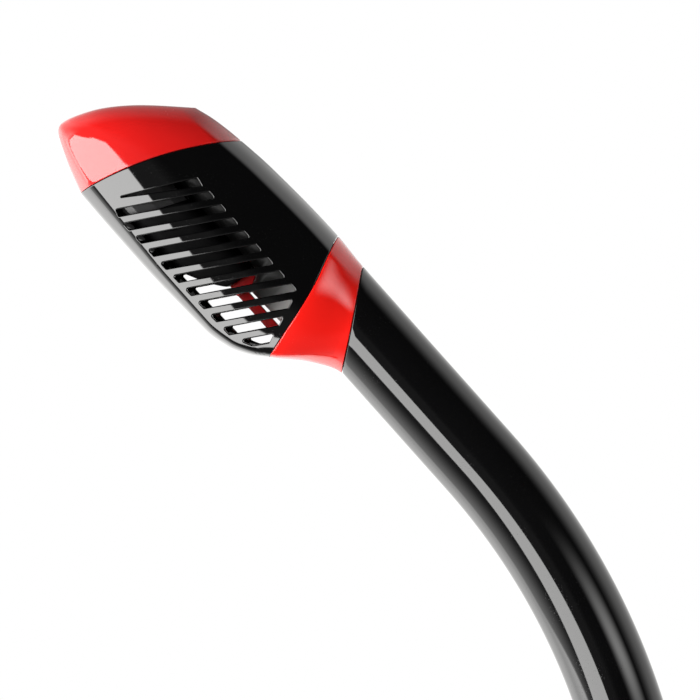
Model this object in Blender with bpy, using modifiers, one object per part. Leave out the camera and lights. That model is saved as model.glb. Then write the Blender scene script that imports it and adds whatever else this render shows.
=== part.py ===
"""Dry-top snorkel: a smooth curved barrel with a float valve head on top, a sliding mask-strap keeper,
and a flexible hose that carries the purge chamber and the mouthpiece.

Frame: metres, +Z up as worn. The snorkel's plane of symmetry is X-Z. The origin is the middle of the strap pad
on the keeper, and the pad faces -Y, towards the wearer's head. The wearer faces +X.
Design sizes below are in millimetres and are scaled by MM when meshes are made.
"""
import math

import bmesh
import bpy
from mathutils import Matrix, Vector

MM = 0.001

# ---------------------------------------------------------------- driving dimensions, mm and degrees
TUBE_R = 12.5            # barrel outside radius
TUBE_WALL = 1.6
PLANE_Y = 21.0           # the snorkel's plane of symmetry, in front of the strap pad
BEND_R = 199.5           # barrel bend radius
LEAN = 41.77             # barrel lean from upright at the top of the bend
STRAIGHT = 55.2          # straight barrel between the bend and the collar
TAIL = 11.0              # the bend runs on this far past upright
END_STRAIGHT = 17.0      # straight end below the bend, inside the hose's cuff
HEAD_LEAN = 44.0         # lean of the valve head's own axis
SHELL = 2.0              # head shell thickness
GAP = 0.3                # clearance between neighbouring pieces

HOSE_LEN = 60.0          # corrugated length
HOSE_TURN = 29.0         # degrees it turns in its relaxed shape
CUFF_TOP, CUFF_LOW = 16.0, 14.0
HOSE_PITCHES = 11

HEAD_O = (-88.01, 174.06)      # x, z where the head's axis starts, in the middle of the collar's lower edge

# valve head outline in its own frame: u along the head's axis, v across it (front -, back +)
FRONT = [(-14.0, -12.5), (-10.0, -12.7), (-2.0, -16.7), (6.0, -23.6), (12.0, -28.3), (18.0, -31.1),
         (26.0, -32.5), (44.0, -32.6), (64.0, -31.9), (80.0, -31.0)]
BACK = [(-14.0, 12.8), (8.0, 13.7), (30.0, 14.3), (46.0, 14.0), (60.0, 12.9), (68.0, 11.8), (75.0, 10.0)]
CAP_SEAM = [(-31.0, 79.5), (-20.3, 76.1), (-12.1, 73.0), (-2.3, 68.3), (7.9, 62.1), (13.0, 58.4)]     # v, u
CAP_TOP = [(-24.4, 95.4), (-22.4, 97.8), (-19.5, 97.9), (-14.6, 96.0), (-9.4, 93.1), (-3.7, 88.7), (2.0, 83.2), (10.0, 74.4)]
CAP_FRONT = [(-31.0, 79.5), (-27.9, 88.0), (-24.4, 95.4)]
COLLAR_SEAM = [(-25.0, 7.0), (-14.9, 9.3), (-7.7, 10.9), (0.0, 13.1), (8.7, 16.6), (13.9, 19.0)]
FRONT_CREASE = [(6.0, 1.6), (24.0, 2.6), (44.0, 3.4), (64.0, 4.2), (80.0, 4.5)]   # distance of the crease behind the front
BACK_CREASE = 4.6
HALF_FRONT, HALF_MID, HALF_BACK = 13.4, 17.6, 12.8    # half widths at the front crease, middle and back crease
SLOTS = 12
SLOT_SLOPE = 0.655       # the slots fall this much towards the back
SLOT_PITCH = 5.17        # along u
SLOT_OPEN = 2.62         # along u
DECK_TILT = 26.0         # the valve deck lies parallel to the cap seam
DECK_V, DECK_U = -8.5, 64.6      # a point of the deck's underside
FLOAT_TRAVEL = 5.0       # from the float's stop up to the seat


# ---------------------------------------------------------------- scene and small helpers
for old in list(bpy.data.objects):
    bpy.data.objects.remove(old)

parts = bpy.data.collections.new("dry_snorkel")
helpers = bpy.data.collections.new("cutters")
for c in (parts, helpers):
    bpy.context.scene.collection.children.link(c)


def material(name, rgb, rough, metallic=0.0):
    m = bpy.data.materials.new(name)
    m.use_nodes = True
    b = m.node_tree.nodes["Principled BSDF"]
    b.inputs["Base Color"].default_value = (*rgb, 1)
    b.inputs["Roughness"].default_value = rough
    b.inputs["Metallic"].default_value = metallic
    return m


RED = (0.80, 0.02, 0.012)
BLACK = (0.012, 0.012, 0.014)
RUBBER = (0.02, 0.02, 0.022)


def curve_through(points, steps=6):
    """A smooth function y(x) through the given points: cubic Hermite with limited slopes, so it never overshoots."""
    pts = sorted(points)
    xs, ys = [p[0] for p in pts], [p[1] for p in pts]
    d = [(ys[i + 1] - ys[i]) / (xs[i + 1] - xs[i]) for i in range(len(xs) - 1)]
    m = [d[0]] + [0.0 if d[i - 1] * d[i] <= 0 else 2 * d[i - 1] * d[i] / (d[i - 1] + d[i]) for i in range(1, len(d))] + [d[-1]]

    def f(x):
        x = min(max(x, xs[0]), xs[-1])
        i = 0
        while i < len(d) - 1 and x > xs[i + 1]:
            i += 1
        h = xs[i + 1] - xs[i]
        t = (x - xs[i]) / h
        return ((2 * t**3 - 3 * t * t + 1) * ys[i] + (t**3 - 2 * t * t + t) * h * m[i]
                + (-2 * t**3 + 3 * t * t) * ys[i + 1] + (t**3 - t * t) * h * m[i + 1])
    return f


def spline_point(points, t):
    """Point at share t, 0 to 1, of a Catmull-Rom spline through 2-D points spaced by their chords."""
    acc = [0.0]
    for a, b in zip(points, points[1:]):
        acc.append(acc[-1] + math.hypot(b[0] - a[0], b[1] - a[1]))
    s = t * acc[-1]
    i = 0
    while i < len(points) - 2 and s > acc[i + 1]:
        i += 1
    k = (s - acc[i]) / (acc[i + 1] - acc[i])
    p1, p2 = points[i], points[i + 1]
    p0 = points[i - 1] if i else (2 * p1[0] - p2[0], 2 * p1[1] - p2[1])
    p3 = points[i + 2] if i + 2 < len(points) else (2 * p2[0] - p1[0], 2 * p2[1] - p1[1])
    return tuple(0.5 * (2 * p1[j] + (p2[j] - p0[j]) * k + (2 * p0[j] - 5 * p1[j] + 4 * p2[j] - p3[j]) * k * k
                        + (3 * p1[j] - p0[j] - 3 * p2[j] + p3[j]) * k**3) for j in (0, 1))


def link(obj, mat=None, frame=None, collection=parts):
    collection.objects.link(obj)
    if mat is not None:
        obj.data.materials.clear()
        obj.data.materials.append(mat)
    if frame is not None:
        obj.parent = frame
    return obj


def loft(name, rings, close_ends=True, mat=None, frame=None, collection=parts):
    """Skin over rings of equal point count, each a list of (x, y, z) in mm."""
    bm = bmesh.new()
    rows = [[bm.verts.new(Vector(p) * MM) for p in ring] for ring in rings]
    n = len(rings[0])
    for a, b in zip(rows, rows[1:]):
        for i in range(n):
            bm.faces.new((a[i], a[(i + 1) % n], b[(i + 1) % n], b[i]))
    if close_ends:
        bm.faces.new(list(reversed(rows[0])))
        bm.faces.new(rows[-1])
    bmesh.ops.remove_doubles(bm, verts=bm.verts, dist=1e-6)
    bmesh.ops.recalc_face_normals(bm, faces=bm.faces)
    mesh = bpy.data.meshes.new(name)
    bm.to_mesh(mesh)
    bm.free()
    return link(bpy.data.objects.new(name, mesh), mat, frame, collection)


def bake(obj):
    """Replaces the object's data by its evaluated mesh, welded, and drops its modifiers."""
    bpy.context.view_layer.update()
    graph = bpy.context.evaluated_depsgraph_get()
    mesh = bpy.data.meshes.new_from_object(obj.evaluated_get(graph))
    bm = bmesh.new()
    bm.from_mesh(mesh)
    bmesh.ops.remove_doubles(bm, verts=bm.verts, dist=2e-6)
    bmesh.ops.recalc_face_normals(bm, faces=bm.faces)
    bm.to_mesh(mesh)
    bm.free()
    if obj.type == "MESH":
        obj.modifiers.clear()
        old = obj.data
        mats = list(old.materials)
        obj.data = mesh
        if not mesh.materials:
            for m in mats:
                mesh.materials.append(m)
        return obj
    name, parent, world = obj.name, obj.parent, obj.matrix_local.copy()
    mats = list(obj.data.materials)
    collection = obj.users_collection[0]
    bpy.data.objects.remove(obj)
    made = bpy.data.objects.new(name, mesh)
    collection.objects.link(made)
    made.parent = parent
    made.matrix_local = world
    if not mesh.materials:
        for m in mats:
            mesh.materials.append(m)
    return made


def solidify(obj, thickness, offset=-1.0):
    m = obj.modifiers.new("wall", "SOLIDIFY")
    m.thickness = thickness * MM
    m.offset = offset
    m.use_even_offset = True
    m.use_rim = True
    return bake(obj)


def turned(name, profile, steps=28, mat=None, frame=None, collection=parts, close=False):
    """A turned solid: profile is a list of (radius, z) in mm, run from top to bottom; closed profiles make rings."""
    mesh = bpy.data.meshes.new(name)
    bm = bmesh.new()
    vs = [bm.verts.new((r * MM, 0, z * MM)) for r, z in profile]
    for a, b in zip(vs, vs[1:]):
        bm.edges.new((a, b))
    if close:
        bm.edges.new((vs[-1], vs[0]))
    bm.to_mesh(mesh)
    bm.free()
    obj = link(bpy.data.objects.new(name, mesh), mat, frame, collection)
    m = obj.modifiers.new("turn", "SCREW")
    m.steps = m.render_steps = steps
    m.use_merge_vertices = True
    m.merge_threshold = 1e-6
    m.use_smooth_shade = True
    return bake(obj)


def extruded(name, outline, half, mat=None, frame=None, collection=parts):
    """A flat outline in x-z, mm, extruded along y to both sides by half."""
    cu = bpy.data.curves.new(name, "CURVE")
    cu.dimensions = "2D"
    cu.fill_mode = "BOTH"
    cu.extrude = half * MM
    sp = cu.splines.new("POLY")
    sp.points.add(len(outline) - 1)
    for p, (x, z) in zip(sp.points, outline):
        p.co = (x * MM, z * MM, 0, 1)
    sp.use_cyclic_u = True
    obj = link(bpy.data.objects.new(name, cu), mat, frame, collection)
    obj.rotation_euler = (math.radians(90), 0, 0)
    return bake(obj)


def box(name, lo, hi, mat=None, frame=None, collection=parts):
    bm = bmesh.new()
    bmesh.ops.create_cube(bm, size=1.0)
    size = Vector(hi) - Vector(lo)
    mid = (Vector(hi) + Vector(lo)) / 2
    bmesh.ops.scale(bm, vec=size * MM, verts=bm.verts)
    bmesh.ops.translate(bm, vec=mid * MM, verts=bm.verts)
    mesh = bpy.data.meshes.new(name)
    bm.to_mesh(mesh)
    bm.free()
    return link(bpy.data.objects.new(name, mesh), mat, frame, collection)


def cut(obj, *cutters, op="DIFFERENCE"):
    for c in cutters:
        m = obj.modifiers.new("bool", "BOOLEAN")
        m.operation = op
        m.object = c
        c.hide_render = True
        c.display_type = "WIRE"
        if parts in c.users_collection:
            parts.objects.unlink(c)
            helpers.objects.link(c)
    bake(obj)
    for c in cutters:
        bpy.data.objects.remove(c)
    return obj


def rounded(obj, width, segments=1, angle=40):
    m = obj.modifiers.new("edge", "BEVEL")
    m.width = width * MM
    m.segments = segments
    m.limit_method = "ANGLE"
    m.angle_limit = math.radians(angle)
    return bake(obj)


def ellipse(a, b, n, z=0.0, power=2.0, cx=0.0, start=0.0):
    """Points round a (super)ellipse, a along x and b along y, at height z."""
    out = []
    for i in range(n):
        t = 2 * math.pi * (i + start) / n
        c, s = math.cos(t), math.sin(t)
        out.append((cx + a * math.copysign(abs(c) ** (2 / power), c), b * math.copysign(abs(s) ** (2 / power), s), z))
    return out


def frame_at(name, x, z, tilt, y=PLANE_Y):
    """An empty in the snorkel's plane whose local Z leans by tilt degrees from +Z towards -X."""
    e = bpy.data.objects.new(name, None)
    parts.objects.link(e)
    e.location = (x * MM, y * MM, z * MM)
    e.rotation_euler = (0, -math.radians(tilt), 0)
    return e


# ---------------------------------------------------------------- the barrel's centre line, x-z in mm
def bend_point(deg):
    t = math.radians(deg)
    return BEND_R * (math.cos(t) - 1), BEND_R * math.sin(t)


bend_top = bend_point(LEAN)
up_dir = (-math.sin(math.radians(LEAN)), math.cos(math.radians(LEAN)))
barrel_top = (bend_top[0] + up_dir[0] * STRAIGHT, bend_top[1] + up_dir[1] * STRAIGHT)
tail_dir = (-math.sin(math.radians(TAIL)), -math.cos(math.radians(TAIL)))
tail_start = bend_point(-TAIL)
barrel_end = (tail_start[0] + tail_dir[0] * END_STRAIGHT, tail_start[1] + tail_dir[1] * END_STRAIGHT)


def to_head(x, z):
    a = math.radians(HEAD_LEAN)
    dx, dz = x - HEAD_O[0], z - HEAD_O[1]
    return dx * math.cos(a) + dz * math.sin(a), -dx * math.sin(a) + dz * math.cos(a)      # v, u


tube_v, tube_u = to_head(*barrel_top)
tube_tilt = math.radians(HEAD_LEAN - LEAN)          # the barrel axis seen from the head's frame


def seam3(v):
    """Height u of the collar's lower edge, an oblique cut that bows slightly towards the barrel."""
    return -9.8 + 0.697 * (v + 12.0) - 0.8 * (1 - ((v - 0.7) / 12.7) ** 2)


def tube_ring_on_seam(radius, n_half, shift=0.0):
    """Half ring, front to back on +y, where a cylinder of this radius about the barrel axis meets the oblique seam."""
    out = []
    du, dv = math.cos(tube_tilt), math.sin(tube_tilt)     # barrel axis direction in (u, v)
    for phi in n_half:
        across = -radius * math.cos(phi)
        y = radius * math.sin(phi)
        v0, u0 = tube_v + across * du, tube_u - across * dv
        lo, hi = -40.0, 40.0
        for _ in range(50):
            t = (lo + hi) / 2
            v, u = v0 + dv * t, u0 + du * t
            if u - seam3(v) - shift > 0:
                hi = t
            else:
                lo = t
        out.append((v, y, u))
    return out


# ---------------------------------------------------------------- valve head sections
front_v = curve_through(FRONT)
back_v = curve_through(BACK)
seam1 = curve_through(CAP_SEAM)
seam2 = curve_through(COLLAR_SEAM)
crease_f = curve_through(FRONT_CREASE)


def section_shape(cf, cb, depth, nf=4, ns=8, nb=4, scale=1.0):
    """Half section from front to back: list of (share of depth, half width). Creases split it into front, side and back."""
    sf, sb = cf / depth, 1 - cb / depth
    out = []
    q = 0.72 * math.pi / 2
    for i in range(nf):
        t = i / nf * q
        out.append((sf * (1 - math.cos(t)) / (1 - math.cos(q)), HALF_FRONT * math.sin(t) / math.sin(q)))
    for i in range(ns):
        t = i / ns
        base = HALF_FRONT + (HALF_BACK - HALF_FRONT) * t
        lift = HALF_MID - (HALF_FRONT + HALF_BACK) / 2
        out.append((sf + (sb - sf) * t, base + lift * (1 - (2 * t - 1) ** 2)))
    for i in range(nb + 1):
        t = (1 - i / nb) * q
        out.append((1 - (1 - sb) * (1 - math.cos(t)) / (1 - math.cos(q)), HALF_BACK * math.sin(t) / math.sin(q)))
    return [(s, y * scale) for s, y in out]


def whole(half):
    """Closes a front-to-back half ring on +y with its mirror image."""
    return half + [(v, -y, u) for v, y, u in reversed(half[1:-1])]


def body_half(k, shift_low=0.0, shift_top=0.0, scale=1.0):
    """Half section of the head at share k between the collar seam and the cap seam."""
    uf = (1 - k) * (seam2(-24.6) + shift_low) + k * (seam1(-31) + shift_top)
    ub = (1 - k) * (seam2(13.9) + shift_low) + k * (seam1(13) + shift_top)
    vf, vb = front_v(uf), back_v(ub)
    shape = section_shape(crease_f(uf), BACK_CREASE, vb - vf, scale=scale)
    out = []
    for s, y in shape:
        v = vf + s * (vb - vf)
        low = seam2(-24.6 + s * 38.5) + shift_low
        top = seam1(-31 + s * 44.0) + shift_top
        out.append((v, y, (1 - k) * low + k * top))
    return out


def lens(k, n=2.5):
    a = k * math.pi / 2
    return math.sin(a) ** (2 / n), max(math.cos(a), 0.0) ** (2 / n)


def cap_half(k, shift=0.0):
    """Half section of the cap at share k between its seam and the ridge on top, where the two sides meet."""
    f, g = lens(k)
    shape = section_shape(crease_f(80), BACK_CREASE, 44.0)
    top = [spline_point(CAP_TOP, s) for s, _ in shape]
    low = [(-31 + s * 44.0, seam1(-31 + s * 44.0)) for s, _ in shape]
    fr = spline_point(CAP_FRONT, f)
    bk = (back_v(58.4 + f * 16.0), 58.4 + f * 16.0)
    out = []
    for (s, y), t, b in zip(shape, top, low):
        v = b[0] + (t[0] - b[0]) * f
        u = b[1] + (t[1] - b[1]) * f
        v += (1 - s) * (fr[0] - (low[0][0] + (top[0][0] - low[0][0]) * f)) + s * (bk[0] - (low[-1][0] + (top[-1][0] - low[-1][0]) * f))
        u += (1 - s) * (fr[1] - (low[0][1] + (top[0][1] - low[0][1]) * f)) + s * (bk[1] - (low[-1][1] + (top[-1][1] - low[-1][1]) * f))
        out.append((v, y * g, u + shift * (1 - f)))
    return out


head = frame_at("head_frame", *HEAD_O, HEAD_LEAN)
red = material("cap_red", RED, 0.22)
black = material("gloss_black", BLACK, 0.14)
satin = material("satin_black", (0.02, 0.02, 0.022), 0.4)
silicone = material("black_silicone", RUBBER, 0.55)
pale = material("pale_plastic", (0.62, 0.63, 0.61), 0.4)
clear = material("clear_silicone", (0.75, 0.78, 0.8), 0.35)
foam = material("float_foam", (0.03, 0.03, 0.032), 0.7)
steel = material("pin_steel", (0.6, 0.6, 0.62), 0.3, 1.0)

def seam_cutter(name, seam, shift, side):
    """Everything above (side 1) or below (side -1) a seam surface that runs straight across y."""
    line = [(-45 + 3 * i, seam(min(max(-45 + 3 * i, -31), 14)) + shift) for i in range(25)]
    line = [(v, u + (0.45 * (v + 31) if v < -31 else 0.55 * (v - 14) * (-1 if seam is seam1 else 1) if v > 14 else 0)) for v, u in line]
    far = side * 150
    return extruded(name, line + [(line[-1][0], far), (line[0][0], far)], 40, frame=head, collection=helpers)


# grille housing: the louvred shell between the collar and the cap
STATIONS = 9
rings = [whole(body_half(i / STATIONS, -1.2, 0.8)) for i in range(STATIONS + 1)]
housing = loft("grille_housing", rings, close_ends=False, mat=black, frame=head)
solidify(housing, SHELL)
cut(housing, seam_cutter("housing_top_cutter", seam1, -GAP / 2, 1))
cut(housing, seam_cutter("housing_low_cutter", seam2, GAP / 2, -1))

# The slots are bands parallel to each other, clipped by the grille's outline.
grille = [(-27.2, 64.6), (-25.7, 68.6), (-22.3, 70.2), (-2.6, 58.9), (-3.0, 53.0), (-4.6, 15.2), (-21.5, 9.9), (-24.6, 13.2), (-27.1, 18.6)]


def clip(poly, keep):
    """Cuts a convex polygon by the half plane where keep(point) > 0."""
    out = []
    for a, b in zip(poly, poly[1:] + poly[:1]):
        ka, kb = keep(a), keep(b)
        if ka > 0:
            out.append(a)
        if ka * kb < 0:
            t = ka / (ka - kb)
            out.append((a[0] + (b[0] - a[0]) * t, a[1] + (b[1] - a[1]) * t))
    return out


slot_cutters = []
for i in range(SLOTS):
    top_edge = 74.45 - i * SLOT_PITCH
    band = clip(grille, lambda p: top_edge - SLOT_SLOPE * (p[0] + 27.6) - p[1])
    band = clip(band, lambda p: p[1] - (top_edge - SLOT_OPEN - SLOT_SLOPE * (p[0] + 27.6)))
    if len(band) > 2:
        slot_cutters.append(extruded(f"slot_cutter_{i}", band, 30, frame=head, collection=helpers))
cut(housing, *slot_cutters)

# cap: closed dome over the plenum
K = [0, 0.14, 0.3, 0.46, 0.62, 0.77, 0.9, 1.0]
skirt = whole([(v, y, u - 1.2) for v, y, u in cap_half(0)])
cap = loft("top_cap", [skirt] + [whole(cap_half(k)) for k in K], close_ends=False, mat=red, frame=head)
solidify(cap, SHELL)
cut(cap, seam_cutter("cap_low_cutter", seam1, GAP / 2, -1))

# collar: blends the head's section into the round barrel, with a floor and a spigot
half0 = body_half(0.0, -GAP / 2)
n_f, n_s, n_b = 4, 8, 4
phis = [math.radians(42 * i / n_f) for i in range(n_f)] + [math.radians(42 + 96 * i / n_s) for i in range(n_s)] + \
       [math.radians(138 + 42 * i / n_b) for i in range(n_b + 1)]


def collar_half(k, shift=GAP / 2, inset=0.0):
    """Half section at share k from the barrel seam (0) up to the housing seam (1)."""
    low = tube_ring_on_seam(TUBE_R - inset, phis, shift)
    top = body_half(0.0, -GAP / 2)
    out = []
    for (v0, y0, u0), (v1, y1, u1) in zip(low, top):
        w = k * k * (3 - 2 * k)
        w = 0.55 * w + 0.45 * k
        u = u0 + (u1 - u0) * k
        v = v0 + (v1 - v0) * w
        out.append((v, y0 + (y1 - y0) * w, u))
    # the front edge follows the head's own front outline
    f_v = front_v(out[0][2])
    dv = f_v - out[0][0]
    n = len(out)
    return [(v + dv * (1 - i / (n - 1)) ** 2, y, u) for i, (v, y, u) in enumerate(out)]


low_ring = whole(tube_ring_on_seam(TUBE_R, phis, -1.5))
top_ring = whole([(v, y, u + 1.5) for v, y, u in collar_half(1.0)])
collar = loft("collar", [low_ring] + [whole(collar_half(k)) for k in (0, 0.2, 0.4, 0.6, 0.8, 1.0)] + [top_ring], close_ends=False, mat=red, frame=head)
solidify(collar, 2.2)


def inset_ring(half, d, height):
    """A half section moved inwards by about d, its height taken from the function height(v)."""
    vf, vb = half[0][0], half[-1][0]
    mid = (vf + vb) / 2
    kv = 1 - d / ((vb - vf) / 2)
    ky = 1 - d / HALF_MID
    return whole([(mid + (v - mid) * kv, y * ky, height(mid + (v - mid) * kv)) for v, y, u in half])


floor = loft("collar_floor", [inset_ring(collar_half(0.8), 1.1, lambda v: seam2(v) - 3.4), inset_ring(collar_half(0.92), 1.1, lambda v: seam2(v) - 0.9)],
             frame=head, collection=helpers)
barrel_frame = frame_at("barrel_top_frame", *barrel_top, LEAN)
# spigot down into the barrel, with a groove for the O-ring; local z is along the barrel's axis
spigot = turned("collar_spigot", [(10.4, 9.0), (10.4, -24.0), (9.0, -24.0), (9.0, 9.0)], 32, frame=barrel_frame, collection=helpers, close=True)
cut(collar, seam_cutter("collar_top_cutter", seam2, -GAP / 2, 1))
skirt_line = [(-40 + 4 * i, seam3(-40 + 4 * i) + GAP / 2) for i in range(21)]
cut(collar, extruded("collar_low_cutter", skirt_line + [(40.0, -80.0), (-40.0, -80.0)], 40, frame=head, collection=helpers))
cut(collar, floor, spigot, op="UNION")
bore = turned("collar_bore", [(0, 40.0), (8.6, 40.0), (8.6, -40.0), (0, -40.0)], 32, frame=barrel_frame, collection=helpers)
groove = turned("oring_groove", [(14.0, -18.5), (14.0, -20.3), (9.65, -20.3), (9.65, -18.5)], 32, frame=barrel_frame, collection=helpers, close=True)
cut(collar, bore)
# only the buried end of the spigot gets the groove
cut(collar, groove)
oring = turned("spigot_oring", [(10.28 + 0.52 * math.cos(a), -19.4 + 0.52 * math.sin(a)) for a in [-2 * math.pi * i / 8 for i in range(8)]],
               32, mat=silicone, frame=barrel_frame, close=True)

# barrel: swept tube, cut obliquely where the collar's skirt ends
path = [barrel_end] + [bend_point(-TAIL + (LEAN + TAIL) * i / 14) for i in range(15)]
path += [(bend_top[0] + up_dir[0] * s, bend_top[1] + up_dir[1] * s) for s in (25.0, 70.0)]


def swept(name, points, radius, sides, mat=None, collection=parts, caps=False):
    cu = bpy.data.curves.new(name, "CURVE")
    cu.dimensions = "3D"
    cu.bevel_depth = radius * MM
    cu.bevel_resolution = sides // 2 - 2
    cu.use_fill_caps = caps
    sp = cu.splines.new("POLY")
    sp.points.add(len(points) - 1)
    for p, (x, z) in zip(sp.points, points):
        p.co = (x * MM, PLANE_Y * MM, z * MM, 1)
    return bake(link(bpy.data.objects.new(name, cu), mat, None, collection))


barrel = swept("barrel_tube", path, TUBE_R, 24, mat=black)
solidify(barrel, TUBE_WALL)
# everything above the seam goes, with its gap; drawn in the head's frame
seam_line = [(-24 + 4 * i, seam3(-24 + 4 * i) - GAP / 2) for i in range(13)]
barrel_cutter = extruded("barrel_cutter", seam_line + [(24.0, 80.0), (-24.0, 80.0)], 20, frame=head, collection=helpers)
cut(barrel, barrel_cutter)

# ---------------------------------------------------------------- inside the head
# air duct: pale tube along the back, wide where it leaves the collar and stepped back above, to clear the float
deck_c, deck_s = math.cos(math.radians(DECK_TILT)), math.sin(math.radians(DECK_TILT))


def deck_u(v):
    """Height of the deck's underside."""
    return DECK_U - math.tan(math.radians(DECK_TILT)) * (v - DECK_V)


def moved_in(ring, d):
    """A closed convex ring of (x, y) moved inwards by d, square to its sides."""
    n = len(ring)
    area = sum(ring[i][0] * ring[(i + 1) % n][1] - ring[(i + 1) % n][0] * ring[i][1] for i in range(n))
    sign = 1 if area > 0 else -1
    out = []
    for i in range(n):
        (ax, ay), (bx, by), (cx, cy) = ring[i - 1], ring[i], ring[(i + 1) % n]
        n1 = Vector((-(by - ay), bx - ax)).normalized() * sign
        n2 = Vector((-(cy - by), cx - bx)).normalized() * sign
        m = n1 + n2
        out.append((bx + m.x * d * 2 / m.length_squared, by + m.y * d * 2 / m.length_squared))
    return out


def ring_between(front, back, b, n, height, power=3.8):
    """A ring between two edges: flattened by power on its front half, round on its back half."""
    cx, a = (front + back) / 2, (back - front) / 2
    flat, round_ = ellipse(a, b, n, cx=cx, power=power), ellipse(a, b, n, cx=cx, power=2.1)
    return [(x, y, height(x)) for x, y, _ in (f if f[0] < cx - 1e-6 else r for f, r in zip(flat, round_))]


duct_rings = [ring_between(-15.0, 11.0, 12.4, 28, lambda v: seam2(v) + 0.2, 2.4), ring_between(-14.9, 11.2, 12.6, 28, lambda v: 24.4, 2.6),
              ring_between(-9.4, 11.4, 12.2, 28, lambda v: 28.0), ring_between(-8.7, 11.2, 11.8, 28, lambda v: 46.0),
              ring_between(-8.2, 9.4, 10.6, 28, lambda v: deck_u(v) - 0.9)]
duct = loft("air_duct", duct_rings, close_ends=False, mat=pale, frame=head)
solidify(duct, 1.3)

# valve deck: plate that closes the plenum under the cap, with the duct's opening and the valve seat
deck_frame = bpy.data.objects.new("deck_frame", None)
parts.objects.link(deck_frame)
deck_frame.parent = head
deck_frame.location = (DECK_V * MM, 0, DECK_U * MM)
deck_frame.rotation_euler = (0, math.radians(DECK_TILT), 0)


def in_deck(v, u):
    dv, du = v - DECK_V, u - DECK_U
    return dv * deck_c - du * deck_s, dv * deck_s + du * deck_c      # along the deck, above its underside


def deck_outline(inset, z):
    """The shell's own section at the deck, moved inwards."""
    half = [(in_deck(v, deck_u(v))[0], y) for v, y, u in body_half(0.9)]
    ring = half + [(x, -y) for x, y in reversed(half[1:-1])]
    lean = math.tan(math.radians(DECK_TILT)) * z         # the shell's walls run along u, so they lean in this frame
    return [(x - lean, y, z) for x, y in moved_in(ring, inset)]


deck = loft("valve_deck", [deck_outline(3.65, 0.0), deck_outline(3.65, 2.0)], mat=satin, frame=deck_frame)
SEAT_X, SEAT_A, SEAT_B = in_deck(-17.6, deck_u(-17.6))[0], 5.6, 8.4
DUCT_X = in_deck(0.8, deck_u(0.8))[0]
seat_hole = loft("seat_hole", [ellipse(SEAT_A + 1.1, SEAT_B + 1.1, 24, z=-5, cx=SEAT_X), ellipse(SEAT_A + 1.1, SEAT_B + 1.1, 24, z=6, cx=SEAT_X)],
                 frame=deck_frame, collection=helpers)
duct_hole = loft("duct_hole", [ellipse(8.2, 9.2, 28, z=-5, cx=DUCT_X), ellipse(8.2, 9.2, 28, z=6, cx=DUCT_X)], frame=deck_frame, collection=helpers)
cut(deck, seat_hole, duct_hole)
# seat ring pressed into the deck: a bush with a raised lip that the float's seal meets
seat = loft("seat_ring", [ellipse(SEAT_A + 0.8, SEAT_B + 0.8, 24, z=-0.9, cx=SEAT_X), ellipse(SEAT_A + 0.8, SEAT_B + 0.8, 24, z=2.5, cx=SEAT_X)],
            mat=red, frame=deck_frame)
seat_bore = loft("seat_bore", [ellipse(SEAT_A - 0.4, SEAT_B - 0.4, 24, z=-5, cx=SEAT_X), ellipse(SEAT_A - 0.4, SEAT_B - 0.4, 24, z=6, cx=SEAT_X)],
                 frame=deck_frame, collection=helpers)
cut(seat, seat_bore)
# gasket round the deck's rim, between the deck and the shell
gasket = loft("cap_gasket", [deck_outline(2.6, 0.3), deck_outline(2.6, 1.6)], mat=silicone, frame=deck_frame)
gasket_bore = loft("gasket_bore", [deck_outline(3.25, -3.0), deck_outline(3.25, 5.0)], frame=deck_frame, collection=helpers)
cut(gasket, gasket_bore)

# float and guide share a frame whose local Z is parallel to the barrel's straight part; its origin is in the guide's axis
core = bpy.data.objects.new("core_frame", None)
parts.objects.link(core)
core.parent = head
CORE_V, CORE_U = -17.1, 26.0
core.location = (CORE_V * MM, 0, CORE_U * MM)
core.rotation_euler = (0, math.radians(HEAD_LEAN - LEAN), 0)
core_t = math.radians(HEAD_LEAN - LEAN)


def to_core(v, u):
    dv, du = v - CORE_V, u - CORE_U
    return dv * math.cos(core_t) - du * math.sin(core_t), dv * math.sin(core_t) + du * math.cos(core_t)


def core_deck(c):
    """Height in the core frame of the deck's underside at across position c."""
    x0, z0 = to_core(DECK_V, DECK_U)
    return z0 - math.tan(math.radians(DECK_TILT) - core_t) * (c - x0)


# float: hollowed block that rides on the guide pin; it rests on the guide's saddle and rises by FLOAT_TRAVEL
F_FRONT, F_BACK, F_B, F_LOW = -10.5, 7.2, 10.6, 5.3
fc, fa = (F_FRONT + F_BACK) / 2, (F_BACK - F_FRONT) / 2
foot = curve_through([(-10.5, 20.0), (-9.4, 17.7), (-8.1, 15.0), (-6.3, 11.4), (-4.2, 8.0), (-1.2, F_LOW), (8.0, F_LOW)])


def float_top(x):
    return core_deck(x) - FLOAT_TRAVEL - 3.0


float_rings = [[(x, y, foot(x)) for x, y, _ in ellipse(fa * 0.9, F_B * 0.88, 28, cx=fc + 0.5, power=4.0)],
               [(x, y, foot(x) + 1.1) for x, y, _ in ellipse(fa, F_B, 28, cx=fc, power=4.0)],
               [(x, y, float_top(x) - 1.6) for x, y, _ in ellipse(fa, F_B, 28, cx=fc, power=4.0)],
               [(x, y, float_top(x)) for x, y, _ in ellipse(fa * 0.88, F_B * 0.9, 28, cx=fc, power=4.0)]]
float_body = loft("float_body", float_rings, mat=foam, frame=core)
pin_bore = turned("float_pin_bore", [(0, 24.5), (1.85, 24.5), (1.85, -10.0), (0, -10.0)], 16, frame=core, collection=helpers)
rail_groove = box("float_rail_groove", (6.2, -1.5, -2.0), (12.0, 1.5, 60.0), frame=core, collection=helpers)
cut(float_body, pin_bore, rail_groove)
# a rail down the duct's front runs in the float's groove and keeps the float from turning
rail = box("duct_rail", (6.55, -1.0, 3.6), (8.5, 1.0, core_deck(7.5) - 0.6), frame=core, collection=helpers)
cut(duct, rail, op="UNION")
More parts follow.
